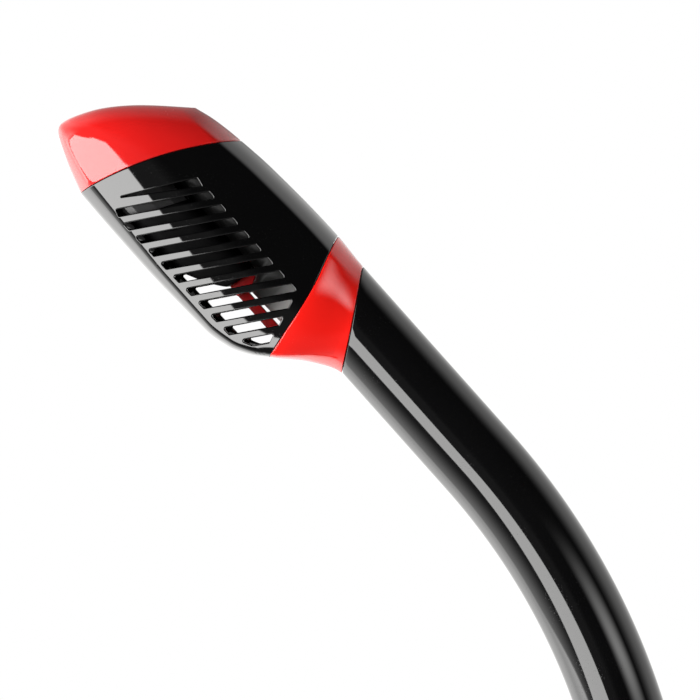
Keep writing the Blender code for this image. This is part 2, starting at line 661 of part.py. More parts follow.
# the deck's skirt hangs round the float's top and keeps splashes off the seat
skirt_out = loft("deck_skirt", [[(x, y, float_top(x) - 0.6) for x, y, _ in ellipse(fa + 1.35, F_B + 1.35, 28, cx=fc, power=4.0)],
                                [(x, y, core_deck(x) + 0.7) for x, y, _ in ellipse(fa + 1.35, F_B + 1.35, 28, cx=fc, power=4.0)]], frame=core, collection=helpers)
skirt_in = loft("deck_skirt_bore", [[(x, y, float_top(x) - 9.0) for x, y, _ in ellipse(fa + 0.5, F_B + 0.5, 28, cx=fc, power=4.0)],
                                    [(x, y, core_deck(x) + 3.0) for x, y, _ in ellipse(fa + 0.5, F_B + 0.5, 28, cx=fc, power=4.0)]], frame=core, collection=helpers)
skirt_back = box("deck_skirt_back", (6.4, -40, 0), (40, 40, 60), frame=core, collection=helpers)
cut(skirt_out, skirt_in, skirt_back)
cut(deck, skirt_out, op="UNION")
seal_x = to_core(-17.6, deck_u(-17.6))[0]
seal = loft("float_seal", [[(x, y, float_top(x) + 0.25) for x, y, _ in ellipse(SEAT_A + 0.6, SEAT_B + 1.0, 24, cx=seal_x)],
                           [(x, y, float_top(x) + 1.8) for x, y, _ in ellipse(SEAT_A + 0.6, SEAT_B + 1.0, 24, cx=seal_x)]], mat=clear, frame=core)

# guide: post from the collar floor, the saddle the float rests on, and the pin the float rides on
post_low = to_core(-17.6, 12.2)[1]
guide = box("float_guide", (-1.5, -1.9, post_low), (1.5, 1.9, 2.0), mat=red, frame=core)
saddle = extruded("guide_saddle", [(-1.5, 0.4), (4.2, 0.4), (6.2, 1.8), (6.2, 4.6), (5.6, 5.0), (-1.0, 5.0), (-1.5, 4.4)], 5.2, frame=core, collection=helpers)
guide_pin = turned("guide_pin", [(0, 21.5), (1.0, 21.5), (1.5, 20.8), (1.5, 3.0), (0, 3.0)], 16, frame=core, collection=helpers)
cut(guide, saddle, guide_pin, op="UNION")

# ---------------------------------------------------------------- mask-strap keeper, slides on the barrel at the origin
keeper_frame = frame_at("keeper_frame", 0, 0, 0)
ring = turned("keeper_ring", [(15.2, 8.5), (15.2, -8.5), (12.95, -8.5), (12.95, 8.5)], 32, mat=satin, frame=keeper_frame, close=True)
boss = turned("keeper_boss", [(0, 17.2), (6.4, 17.2), (7.4, 14.6), (7.4, 13.4), (0, 13.4)], 24, frame=keeper_frame, collection=helpers)
boss.rotation_euler = (math.radians(90), 0, 0)
cut(ring, boss, op="UNION")
boss_bore = turned("boss_bore", [(0, 30), (2.35, 30), (2.35, 15.6), (3.9, 15.6), (3.9, 13.15), (0, 13.15)], 20, frame=keeper_frame, collection=helpers)
boss_bore.rotation_euler = (math.radians(90), 0, 0)
cut(ring, boss_bore)
# swivel stud: its foot is held inside the boss, its head in the buckle
stud = turned("swivel_stud", [(0, 19.9), (4.3, 19.9), (4.3, 18.9), (2.05, 18.3), (2.05, 15.3), (3.6, 15.3), (3.6, 13.5), (0, 13.5)], 20, mat=steel, frame=keeper_frame)
stud.rotation_euler = (math.radians(90), 0, 0)

# strap buckle: plate with two slots for the mask strap; y 0 is the pad the strap lies on
buckle_frame = frame_at("buckle_frame", 0, 0, 0, y=0)


def rounded_outline(w, h, r, n=4):
    out = []
    for cx, cz, a0 in ((w / 2 - r, h / 2 - r, 0), (-w / 2 + r, h / 2 - r, 90), (-w / 2 + r, -h / 2 + r, 180), (w / 2 - r, -h / 2 + r, 270)):
        for i in range(n + 1):
            a = math.radians(a0 + 90 * i / n)
            out.append((cx + r * math.cos(a), cz + r * math.sin(a)))
    return out


buckle = extruded("strap_buckle", rounded_outline(40, 36, 5), 1.7, mat=satin, frame=buckle_frame)
buckle.location = (0, 1.7 * MM, 0)
bake(buckle)
for side in (-1, 1):
    s = extruded("strap_slot_cutter", [(x + side * 13.6, z) for x, z in rounded_outline(5.0, 27.0, 1.5, 2)], 8, frame=buckle_frame, collection=helpers)
    cut(buckle, s)
# pocket for the stud's head, opening towards the ring, and the lever's window above it
pocket = turned("stud_pocket", [(0, 6.0), (2.5, 6.0), (2.5, 3.0), (4.6, 2.4), (4.6, 0.8), (0, 0.8)], 20, frame=buckle_frame, collection=helpers)
pocket.rotation_euler = (math.radians(-90), 0, 0)
window = box("lever_window", (-3.6, 1.0, 5.4), (3.6, 6.0, 22.0), frame=buckle_frame, collection=helpers)
cut(buckle, pocket)
cut(buckle, window)
lug_hole = turned("lever_pin_hole", [(0, 6.4), (0.95, 6.4), (0.95, -6.4), (0, -6.4)], 14, frame=buckle_frame, collection=helpers)
lug_hole.rotation_euler = (0, math.radians(90), 0)
lug_hole.location = (0, 2.1 * MM, 12.0 * MM)
cut(buckle, lug_hole)
# release lever: rocks on its pin; its tongue locks the stud's head in the pocket
lever = extruded("release_lever", [(-0.9, 5.9), (-0.9, 8.0), (-1.05, 12.0), (-0.3, 16.4), (1.6, 20.6), (2.6, 20.2), (1.6, 16.0), (1.15, 12.0), (0.9, 8.0), (0.3, 5.9)],
                 3.2, mat=red, frame=buckle_frame)
# outline is drawn in y-z: turn its x to y
bpy.context.view_layer.update()
lever.matrix_local = Matrix.Translation((0, 2.2 * MM, 0)) @ Matrix.Rotation(math.radians(90), 4, "Z") @ lever.matrix_local
lever_hole = turned("lever_hole", [(0, 8), (0.82, 8), (0.82, -8), (0, -8)], 14, frame=buckle_frame, collection=helpers)
lever_hole.rotation_euler = (0, math.radians(90), 0)
lever_hole.location = (0, 2.1 * MM, 12.0 * MM)
cut(lever, lever_hole)
pin = turned("lever_pin", [(0, 6.0), (0.6, 6.0), (0.6, -6.0), (0, -6.0)], 12, mat=steel, frame=buckle_frame)
pin.rotation_euler = (0, math.radians(90), 0)
pin.location = (0, 2.1 * MM, 12.0 * MM)

# ---------------------------------------------------------------- flexible hose
HOSE_R = HOSE_LEN / math.radians(HOSE_TURN)


def hose_point(s):
    """Centre line and heading, degrees past straight down, at s mm below the barrel's end."""
    if s <= 0:
        return barrel_end[0] + tail_dir[0] * s, barrel_end[1] + tail_dir[1] * s, TAIL
    if s <= HOSE_LEN:
        a0, a1 = math.radians(TAIL), math.radians(TAIL) + s / HOSE_R
        x = barrel_end[0] - HOSE_R * (math.cos(a0) - math.cos(a1))
        z = barrel_end[1] - HOSE_R * (math.sin(a1) - math.sin(a0))
        return x, z, math.degrees(a1)
    x, z, deg = hose_point(HOSE_LEN)
    a = math.radians(deg)
    return x - math.sin(a) * (s - HOSE_LEN), z - math.cos(a) * (s - HOSE_LEN), deg


def hose_ring(s, radius, n=20):
    x, z, deg = hose_point(s)
    a = math.radians(deg)
    across = (math.cos(a), -math.sin(a))
    return [(x + radius * math.cos(t) * across[0], PLANE_Y + radius * math.sin(t), z + radius * math.cos(t) * across[1])
            for t in (2 * math.pi * i / n for i in range(n))]


profile = [(-CUFF_TOP, 15.0), (-1.0, 15.0)]
for i in range(HOSE_PITCHES):
    a = HOSE_LEN * (i + 0.25) / HOSE_PITCHES
    b = HOSE_LEN * (i + 0.75) / HOSE_PITCHES
    profile += [(a, 14.2), (b, 17.0)]
profile += [(HOSE_LEN + 1.0, 15.0), (HOSE_LEN + CUFF_LOW, 15.0)]
inner = []
for s, r in profile:
    in_cuff = s < 0 or s > HOSE_LEN
    inner.append((s, (TUBE_R + GAP) if in_cuff else r - 1.7))
outer_rings = [hose_ring(s, r) for s, r in profile]
inner_rings = [hose_ring(s, r) for s, r in reversed(inner)]
hose = loft("flex_hose", outer_rings + inner_rings + [outer_rings[0]], close_ends=False, mat=silicone)


def band_rings(s0, s1, r_in, r_out, n=28):
    a = [hose_ring(s0, r_out, n), hose_ring(s1, r_out, n), hose_ring(s1, r_in, n), hose_ring(s0, r_in, n)]
    return a + [a[0]]


loft("hose_clamp_upper", band_rings(-12.0, -5.0, 15.3, 17.0), close_ends=False, mat=satin)
loft("hose_clamp_lower", band_rings(HOSE_LEN + 4.0, HOSE_LEN + 10.5, 15.3, 17.0), close_ends=False, mat=satin)

# ---------------------------------------------------------------- purge chamber; local z runs up the hose, 0 at the cuff's end
cx, cz, c_deg = hose_point(HOSE_LEN + CUFF_LOW)
chamber_frame = frame_at("chamber_frame", cx, cz, -c_deg)
chamber = turned("purge_chamber", [(0, 13.5), (12.2, 13.5), (12.5, 13.1), (12.5, -0.6), (15.0, -1.2), (16.9, -3.8), (17.6, -7.5), (17.6, -33.0), (16.2, -33.4), (16.2, -38.0), (0, -38.0)],
                 32, mat=black, frame=chamber_frame)
mouth_frame = bpy.data.objects.new("mouth_frame", None)
parts.objects.link(mouth_frame)
mouth_frame.parent = chamber_frame
mouth_frame.location = (0, 0, -16.5 * MM)
mouth_frame.rotation_euler = (0, math.radians(-90 - 15), 0)
PORT_X, PORT_Y = 9.4, 14.6
port = loft("mouth_port", [ellipse(PORT_X, PORT_Y, 28, z=6.0), ellipse(PORT_X, PORT_Y, 28, z=32.0)], frame=mouth_frame, collection=helpers)
cut(chamber, port, op="UNION")
well = turned("chamber_well", [(0, 20.0), (10.6, 20.0), (10.6, 0.5), (13.0, -2.0), (15.4, -5.5), (15.4, -31.5), (12.6, -31.5), (12.6, -32.8), (14.4, -32.8), (14.4, -45.0), (0, -45.0)],
              32, frame=chamber_frame, collection=helpers)
port_bore = loft("port_bore", [ellipse(PORT_X - 1.8, PORT_Y - 1.8, 28, z=2.0), ellipse(PORT_X - 1.8, PORT_Y - 1.8, 28, z=40.0)], frame=mouth_frame, collection=helpers)
cut(chamber, well, port_bore)

# purge seat: spoked disc the diaphragm closes on
seat_plate = turned("purge_seat", [(0, -33.1), (14.1, -33.1), (14.1, -35.0), (0, -35.0)], 32, mat=satin, frame=chamber_frame)
for i in range(4):
    a0 = math.radians(90 * i + 12)
    arc = [(4.2, a0), (10.8, a0 + 0.0), (10.8, a0 + math.radians(33)), (10.8, a0 + math.radians(66)), (4.2, a0 + math.radians(66)), (4.2, a0 + math.radians(33))]
    pts = [(r * math.cos(a), r * math.sin(a)) for r, a in arc]
    v = loft("seat_vent", [[(x, y, -40.0) for x, y in pts], [(x, y, -30.0) for x, y in pts]], frame=chamber_frame, collection=helpers)
    cut(seat_plate, v)
stem_hole = turned("seat_stem_hole", [(0, -30.0), (1.6, -30.0), (1.6, -40.0), (0, -40.0)], 14, frame=chamber_frame, collection=helpers)
cut(seat_plate, stem_hole)
# diaphragm: thin silicone mushroom, its stem through the seat
turned("purge_diaphragm", [(0, -29.4), (1.9, -30.0), (1.9, -31.2), (1.2, -31.7), (1.2, -35.4), (12.6, -35.3), (12.7, -35.8), (4.0, -36.5), (0, -36.6)],
       28, mat=clear, frame=chamber_frame)
# cover: snaps over the chamber's end and shields the diaphragm, with side and end vents
cover = turned("purge_cover", [(0, -46.0), (13.0, -46.0), (16.4, -44.6), (17.8, -41.6), (17.9, -33.8), (16.5, -33.8), (16.5, -40.6), (15.0, -43.0), (12.4, -44.2), (0, -44.2)][::-1],
               32, mat=red, frame=chamber_frame)
for i in range(6):
    a = math.radians(60 * i + 30)
    pts = [(r * math.cos(a + d), r * math.sin(a + d)) for r, d in ((5.0, -0.2), (10.6, -0.36), (11.6, 0.0), (10.6, 0.36), (5.0, 0.2))]
    v = loft("cover_vent", [[(x, y, -50.0) for x, y in pts], [(x, y, -42.0) for x, y in pts]], frame=chamber_frame, collection=helpers)
    cut(cover, v)

# ---------------------------------------------------------------- mouthpiece; local z points to the mouth
mouth = loft("mouthpiece", [ellipse(PORT_X + 2.4, PORT_Y + 2.4, 28, z=23.0), ellipse(PORT_X + 2.4, PORT_Y + 2.4, 28, z=34.0),
                            ellipse(PORT_X + 1.0, PORT_Y + 1.8, 28, z=39.0), ellipse(PORT_X - 0.4, PORT_Y + 1.4, 28, z=47.0)], mat=silicone, frame=mouth_frame)


def bowed(z, y):
    """The lip shield and bite wings follow the dental arch."""
    return z - 0.011 * y * y


def shield_slice(y):
    """Section of the lip shield across x at this y: a rounded slab on the bowed surface."""
    w = 13.4 * (1 - (abs(y) / 29.6) ** 2.6) ** (1 / 2.6)
    z0, z1 = bowed(46.6, y), bowed(49.0, y)
    e = min(1.0, 0.4 * w)
    return [(-w + e, y, z0), (w - e, y, z0), (w, y, (z0 + z1) / 2), (w - e, y, z1), (-w + e, y, z1), (-w, y, (z0 + z1) / 2)]


shield = loft("lip_shield", [shield_slice(29.2 * math.sin(math.radians(90 * i / 9))) for i in range(-9, 10)], frame=mouth_frame, collection=helpers)
cut(mouth, shield, op="UNION")
for side in (-1, 1):
    wing = [(48.0, side * 14.0), (60.0, side * 12.5), (60.0, side * 24.0), (44.5, side * 24.0)]
    rings = []
    for zz, k in ((47.0, 1.0), (54.0, 0.9), (59.0, 0.82)):
        rings.append([(x * k, side * (19.0 + y * k), bowed(zz, side * (19.0 + y * k))) for x, y in ((-1.6, -5.4), (1.6, -5.4), (1.6, 5.6), (-1.6, 5.6))])
    w = loft("bite_wing", rings, frame=mouth_frame, collection=helpers)
    cut(mouth, w, op="UNION")
    pad = loft("bite_pad", [[(x, side * (19.0 + y), bowed(zz, side * (19.0 + y))) for x, y in ((-5.0, -5.0), (5.0, -5.0), (5.0, 5.2), (-5.0, 5.2))] for zz in (57.6, 60.4)],
               frame=mouth_frame, collection=helpers)
    cut(mouth, pad, op="UNION")
mouth_bore = loft("mouth_bore", [ellipse(PORT_X + GAP, PORT_Y + GAP, 28, z=15.0), ellipse(PORT_X + GAP, PORT_Y + GAP, 28, z=32.4),
                                 ellipse(PORT_X - 2.6, PORT_Y - 2.2, 28, z=35.0), ellipse(PORT_X - 3.6, PORT_Y - 2.6, 28, z=56.0)],
                  frame=mouth_frame, collection=helpers)
cut(mouth, mouth_bore)
tie = loft("mouthpiece_tie", [ellipse(PORT_X + 3.9, PORT_Y + 3.9, 28, z=26.0), ellipse(PORT_X + 3.9, PORT_Y + 3.9, 28, z=29.8)], mat=satin, frame=mouth_frame)
tie_head = box("tie_head", (PORT_X + 2.9, -3.0, 25.4), (PORT_X + 6.8, 3.0, 30.4), frame=mouth_frame, collection=helpers)
cut(tie, tie_head, op="UNION")
tie_bore = loft("tie_bore", [ellipse(PORT_X + 2.7, PORT_Y + 2.7, 28, z=15.0), ellipse(PORT_X + 2.7, PORT_Y + 2.7, 28, z=34.0)], frame=mouth_frame, collection=helpers)
cut(tie, tie_bore)

for o in parts.objects:
    if o.type == "MESH":
        o.data.shade_smooth()
        o.data.set_sharp_from_angle(angle=math.radians(32))
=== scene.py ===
"""Dry-top snorkel: the visual model, its materials, camera, floor and light.

Sizes are in millimetres until a mesh is made, and every piece lies where the CAD frame has it."""
import math

import bmesh
import bpy
import numpy as np
from mathutils import Matrix, Vector
from mathutils.bvhtree import BVHTree
from mathutils.geometry import delaunay_2d_cdt


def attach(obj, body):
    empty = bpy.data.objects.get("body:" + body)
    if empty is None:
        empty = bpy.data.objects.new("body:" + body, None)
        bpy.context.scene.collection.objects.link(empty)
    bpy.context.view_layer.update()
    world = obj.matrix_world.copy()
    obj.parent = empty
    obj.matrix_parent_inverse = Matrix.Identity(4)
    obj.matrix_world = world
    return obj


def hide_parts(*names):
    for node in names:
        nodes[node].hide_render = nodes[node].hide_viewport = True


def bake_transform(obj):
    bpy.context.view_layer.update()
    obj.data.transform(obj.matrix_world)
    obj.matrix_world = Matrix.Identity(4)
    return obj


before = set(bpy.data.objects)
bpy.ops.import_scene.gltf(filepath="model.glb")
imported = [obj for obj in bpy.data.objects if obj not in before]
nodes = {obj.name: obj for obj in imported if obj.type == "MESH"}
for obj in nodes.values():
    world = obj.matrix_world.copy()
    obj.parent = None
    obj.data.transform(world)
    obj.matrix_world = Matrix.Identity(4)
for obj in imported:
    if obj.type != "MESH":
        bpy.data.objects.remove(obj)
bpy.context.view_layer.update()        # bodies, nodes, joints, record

MM = 0.001
scene = bpy.context.scene

# ================================================================ sizes, as the CAD has them
TUBE_R = 12.5            # barrel outside radius
TUBE_WALL = 1.6
PLANE_Y = 21.0           # the snorkel's plane of symmetry, in front of the strap pad
BEND_R = 199.5           # barrel bend radius
LEAN = 41.77             # barrel lean from upright at the top of the bend
STRAIGHT = 55.2          # straight barrel between the bend and the collar
TAIL = 11.0              # the bend runs on this far past upright
END_STRAIGHT = 17.0      # straight end below the bend, inside the hose's cuff
HEAD_LEAN = 44.0         # lean of the valve head's own axis
SHELL = 2.0              # head shell thickness
GAP = 0.12               # visual seam between the head's shells

HOSE_LEN = 60.0          # corrugated length
HOSE_TURN = 29.0         # degrees it turns in its relaxed shape
CUFF_TOP, CUFF_LOW = 16.0, 14.0
HOSE_PITCHES = 11

HEAD_O = (-88.01, 174.06)      # x, z where the head's axis starts, in the middle of the collar's lower edge

# valve head outline in its own frame: u along the head's axis, v across it (front -, back +)
FRONT = [(-14.0, -12.5), (-10.0, -12.7), (-2.0, -16.7), (6.0, -23.6), (12.0, -28.3), (18.0, -31.1),
         (26.0, -32.5), (44.0, -32.6), (64.0, -31.9), (80.0, -31.0)]
BACK = [(-14.0, 12.8), (8.0, 13.7), (30.0, 14.3), (46.0, 14.0), (60.0, 12.9), (68.0, 11.8), (75.0, 10.0)]
CAP_SEAM = [(-31.0, 79.5), (-20.3, 76.1), (-12.1, 73.0), (-2.3, 68.3), (7.9, 62.1), (13.0, 58.4)]     # v, u
CAP_TOP = [(-24.4, 95.4), (-22.4, 97.8), (-19.5, 97.9), (-14.6, 96.0), (-9.4, 93.1), (-3.7, 88.7), (2.0, 83.2), (10.0, 74.4)]
CAP_FRONT = [(-31.0, 79.5), (-27.9, 88.0), (-24.4, 95.4)]
COLLAR_SEAM = [(-25.0, 7.0), (-14.9, 9.3), (-7.7, 10.9), (0.0, 13.1), (8.7, 16.6), (13.9, 19.0)]
FRONT_CREASE = [(6.0, 1.6), (24.0, 2.6), (44.0, 3.4), (64.0, 4.2), (80.0, 4.5)]   # distance of the crease behind the front
BACK_CREASE = 4.6
HALF_FRONT, HALF_MID, HALF_BACK = 13.4, 17.6, 12.8    # half widths at the front crease, middle and back crease
SLOTS = 12
SLOT_SLOPE = 0.655       # the slots fall this much towards the back
SLOT_PITCH = 5.17        # along u
SLOT_OPEN = 2.62         # along u
DECK_TILT = 26.0         # the valve deck lies parallel to the cap seam
DECK_V, DECK_U = -8.5, 64.6      # a point of the deck's underside
FLOAT_TRAVEL = 5.0       # from the float's stop up to the seat


def curve_through(points):
    pts = sorted(points)
    xs, ys = [p[0] for p in pts], [p[1] for p in pts]
    d = [(ys[i + 1] - ys[i]) / (xs[i + 1] - xs[i]) for i in range(len(xs) - 1)]
    m = [d[0]] + [0.0 if d[i - 1] * d[i] <= 0 else 2 * d[i - 1] * d[i] / (d[i - 1] + d[i]) for i in range(1, len(d))] + [d[-1]]

    def f(x):
        x = min(max(x, xs[0]), xs[-1])
        i = 0
        while i < len(d) - 1 and x > xs[i + 1]:
            i += 1
        h = xs[i + 1] - xs[i]
        t = (x - xs[i]) / h
        return ((2 * t**3 - 3 * t * t + 1) * ys[i] + (t**3 - 2 * t * t + t) * h * m[i]
                + (-2 * t**3 + 3 * t * t) * ys[i + 1] + (t**3 - t * t) * h * m[i + 1])
    return f


def spline_point(points, t):
    acc = [0.0]
    for a, b in zip(points, points[1:]):
        acc.append(acc[-1] + math.hypot(b[0] - a[0], b[1] - a[1]))
    s = t * acc[-1]
    i = 0
    while i < len(points) - 2 and s > acc[i + 1]:
        i += 1
    k = (s - acc[i]) / (acc[i + 1] - acc[i])
    p1, p2 = points[i], points[i + 1]
    p0 = points[i - 1] if i else (2 * p1[0] - p2[0], 2 * p1[1] - p2[1])
    p3 = points[i + 2] if i + 2 < len(points) else (2 * p2[0] - p1[0], 2 * p2[1] - p1[1])
    return tuple(0.5 * (2 * p1[j] + (p2[j] - p0[j]) * k + (2 * p0[j] - 5 * p1[j] + 4 * p2[j] - p3[j]) * k * k
                        + (3 * p1[j] - p0[j] - 3 * p2[j] + p3[j]) * k**3) for j in (0, 1))


def rad(d):
    return math.radians(d)


def tilted(x, y, z, deg):
    """Matrix, in mm, of a frame whose local Z leans by deg from +Z towards -X."""
    return Matrix.Translation((x, y, z)) @ Matrix.Rotation(-rad(deg), 4, "Y")


def bend_point(deg):
    return BEND_R * (math.cos(rad(deg)) - 1), BEND_R * math.sin(rad(deg))


bend_top = bend_point(LEAN)
up_dir = (-math.sin(rad(LEAN)), math.cos(rad(LEAN)))
barrel_top = (bend_top[0] + up_dir[0] * STRAIGHT, bend_top[1] + up_dir[1] * STRAIGHT)
tail_dir = (-math.sin(rad(TAIL)), -math.cos(rad(TAIL)))
tail_start = bend_point(-TAIL)
barrel_end = (tail_start[0] + tail_dir[0] * END_STRAIGHT, tail_start[1] + tail_dir[1] * END_STRAIGHT)

HEAD = tilted(HEAD_O[0], PLANE_Y, HEAD_O[1], HEAD_LEAN)
BARREL_TOP = tilted(barrel_top[0], PLANE_Y, barrel_top[1], LEAN)
ROOT = Matrix.Translation((0, PLANE_Y, 0))
DECK = HEAD @ Matrix.Translation((DECK_V, 0, DECK_U)) @ Matrix.Rotation(rad(DECK_TILT), 4, "Y")
CORE_V, CORE_U = -17.1, 26.0
core_t = rad(HEAD_LEAN - LEAN)
CORE = HEAD @ Matrix.Translation((CORE_V, 0, CORE_U)) @ Matrix.Rotation(core_t, 4, "Y")


def to_head(x, z):
    a = rad(HEAD_LEAN)
    dx, dz = x - HEAD_O[0], z - HEAD_O[1]
    return dx * math.cos(a) + dz * math.sin(a), -dx * math.sin(a) + dz * math.cos(a)


tube_v, tube_u = to_head(*barrel_top)


def seam3(v):
    return -9.8 + 0.697 * (v + 12.0) - 0.8 * (1 - ((v - 0.7) / 12.7) ** 2)


def tube_ring_on_seam(radius, phis, shift=0.0):
    """Half ring where a cylinder of this radius about the barrel's axis meets the oblique seam."""
    out = []
    du, dv = math.cos(core_t), math.sin(core_t)
    for phi in phis:
        across, y = -radius * math.cos(phi), radius * math.sin(phi)
        v0, u0 = tube_v + across * du, tube_u - across * dv
        lo, hi = -40.0, 40.0
        for _ in range(40):
            t = (lo + hi) / 2
            if u0 + du * t - seam3(v0 + dv * t) - shift > 0:
                hi = t
            else:
                lo = t
        out.append((v0 + dv * t, y, u0 + du * t))
    return out


front_v, back_v = curve_through(FRONT), curve_through(BACK)
seam1, seam2, crease_f = curve_through(CAP_SEAM), curve_through(COLLAR_SEAM), curve_through(FRONT_CREASE)
NF, NS, NB = 16, 62, 16          # points of a half section: front, side, back


def section_shape(cf, cb, depth, nf=NF, ns=NS, nb=NB, hf=HALF_FRONT):
    """Half section from front to back: (share of depth, half width)."""
    sf, sb = cf / depth, 1 - cb / depth
    out = []
    q = 0.5 * math.pi / 2
    for i in range(nf):
        t = i / nf * q
        out.append((sf * (1 - math.cos(t)) / (1 - math.cos(q)), hf * math.sin(t) / math.sin(q)))
    for i in range(ns):
        t = i / ns
        base = hf + (HALF_BACK - hf) * t
        lift = HALF_MID - (hf + HALF_BACK) / 2
        out.append((sf + (sb - sf) * t, base + lift * (1 - (2 * t - 1) ** 2)))
    for i in range(nb + 1):
        t = (1 - i / nb) * q
        out.append((1 - (1 - sb) * (1 - math.cos(t)) / (1 - math.cos(q)), HALF_BACK * math.sin(t) / math.sin(q)))
    return out


def whole(half):
    return list(half) + [(v, -y, u) for v, y, u in reversed(half[1:-1])]


def body_half(k, shift_low=0.0, shift_top=0.0):
    uf = (1 - k) * (seam2(-24.6) + shift_low) + k * (seam1(-31) + shift_top)
    ub = (1 - k) * (seam2(13.9) + shift_low) + k * (seam1(13) + shift_top)
    vf, vb = front_v(uf), back_v(ub)
    out = []
    for s, y in section_shape(crease_f(uf), BACK_CREASE, vb - vf, hf=HALF_FRONT + 2.0 * (1 - k)):
        low = seam2(-24.6 + s * 38.5) + shift_low
        top = seam1(-31 + s * 44.0) + shift_top
        out.append((vf + s * (vb - vf), y, (1 - k) * low + k * top))
    return out


def cap_half(k, shift=0.0):
    a = k * math.pi / 2
    f, g = math.sin(a) ** 0.8, max(math.cos(a), 0.0) ** 0.8
    shape = section_shape(crease_f(80), BACK_CREASE, 44.0)
    top = [spline_point(CAP_TOP, s) for s, _ in shape]
    low = [(-31 + s * 44.0, seam1(-31 + s * 44.0)) for s, _ in shape]
    fr = spline_point(CAP_FRONT, f)
    bk = (back_v(58.4 + f * 16.0), 58.4 + f * 16.0)
    out = []
    for (s, y), t, b in zip(shape, top, low):
        v = b[0] + (t[0] - b[0]) * f
        u = b[1] + (t[1] - b[1]) * f
        v += (1 - s) * (fr[0] - (low[0][0] + (top[0][0] - low[0][0]) * f)) + s * (bk[0] - (low[-1][0] + (top[-1][0] - low[-1][0]) * f))
        u += (1 - s) * (fr[1] - (low[0][1] + (top[0][1] - low[0][1]) * f)) + s * (bk[1] - (low[-1][1] + (top[-1][1] - low[-1][1]) * f))
        out.append((v, y * g, u + shift * (1 - f)))
    return out


q_f = 42.0
phis = [rad(q_f * i / NF) for i in range(NF)] + [rad(q_f + 96 * i / NS) for i in range(NS)] + [rad(138 + 42 * i / NB) for i in range(NB + 1)]


def collar_half(k, shift=GAP / 2):
    low, top = tube_ring_on_seam(TUBE_R, phis, shift), body_half(0.0, -GAP / 2)
    out = []
    for (v0, y0, u0), (v1, y1, u1) in zip(low, top):
        w = 0.55 * k * k * (3 - 2 * k) + 0.45 * k
        out.append((v0 + (v1 - v0) * w, y0 + (y1 - y0) * w, u0 + (u1 - u0) * k))
    dv = front_v(out[0][2]) - out[0][0]
    n = len(out)
    return [(v + dv * (1 - i / (n - 1)) ** 2, y, u) for i, (v, y, u) in enumerate(out)]


# ================================================================ mesh tools
def add_object(name, mesh, mat):
    obj = bpy.data.objects.new(name, mesh)
    scene.collection.objects.link(obj)
    for m in mat if isinstance(mat, (list, tuple)) else [mat]:
        mesh.materials.append(m)
    return obj


def mesh_of(name, points, faces, mat, matrix=None, sharp=32, smooth=True):
    """A mesh object from points in mm in the frame of matrix."""
    p = np.asarray(points, float).reshape(-1, 3)
    if matrix is not None:
        m = np.array(matrix)
        p = p @ m[:3, :3].T + m[:3, 3]
    mesh = bpy.data.meshes.new(name)
    mesh.from_pydata((p * MM).tolist(), [], [tuple(int(i) for i in f) for f in faces])
    mesh.update()
    obj = add_object(name, mesh, mat)
    tidy(obj, sharp, smooth)
    return obj


def tidy(obj, sharp=32, smooth=True, weld=2e-6):
    bm = bmesh.new()
    bm.from_mesh(obj.data)
    bmesh.ops.remove_doubles(bm, verts=bm.verts, dist=weld)
    bmesh.ops.dissolve_degenerate(bm, edges=bm.edges, dist=1e-7)
    bmesh.ops.recalc_face_normals(bm, faces=bm.faces)
    bm.to_mesh(obj.data)
    bm.free()
    if smooth:
        obj.data.shade_smooth()
        obj.data.set_sharp_from_angle(angle=rad(sharp))
    return obj


def grid_faces(rows, cols, around=True, start=0, flip=False):
    out = []
    for i in range(rows - 1):
        for j in range(cols if around else cols - 1):
            a, b = start + i * cols + j, start + i * cols + (j + 1) % cols
            c, d = b + cols, a + cols
            out.append((a, d, c, b) if flip else (a, b, c, d))
    return out


def grid_normals(p):
    """Unit normals of a grid of rings, pointing away from each ring's middle."""
    along = np.gradient(p, axis=0)
    round_ = np.roll(p, -1, 1) - np.roll(p, 1, 1)
    n = np.cross(round_, along)
    n /= np.maximum(np.linalg.norm(n, axis=2, keepdims=True), 1e-12)
    out = p - p.mean(axis=1, keepdims=True)
    sign = np.sign((n * out).sum(axis=(1, 2)))
    return n * np.where(sign == 0, 1, sign)[:, None, None]


def eased(p, creases, times=2):
    """Rounds the grid across its creases, which run along the rows at these ring indices."""
    n = p.shape[1]
    w = np.zeros(n)
    for c in creases:
        for j in range(-4, 5):
            w[(c + j) % n] = max(w[(c + j) % n], 1.0 if abs(j) < 4 else 0.5)
    w = w[None, :, None]
    for _ in range(times):
        p = p + w * 0.5 * ((np.roll(p, 1, 1) + np.roll(p, -1, 1)) / 2 - p)
    return p


def rounded_rim(p, n, end, r=0.35, steps=4):
    """Replaces a grid's end row by a rounded edge: rows that turn from the surface to the rim."""
    rim, nxt = (p[0], p[1]) if end == 0 else (p[-1], p[-2])
    nn = n[0] if end == 0 else n[-1]
    t = rim - nxt
    t /= np.maximum(np.linalg.norm(t, axis=1, keepdims=True), 1e-9)
    t = t - (t * nn).sum(1, keepdims=True) * nn
    t /= np.maximum(np.linalg.norm(t, axis=1, keepdims=True), 1e-9)
    rows = []
    for i in range(steps + 1):
        a = math.pi / 2 * i / steps
        rows.append(rim - t * r * (1 - math.sin(a)) - nn * r * (1 - math.cos(a)))
    return np.array(rows if end else rows[::-1])


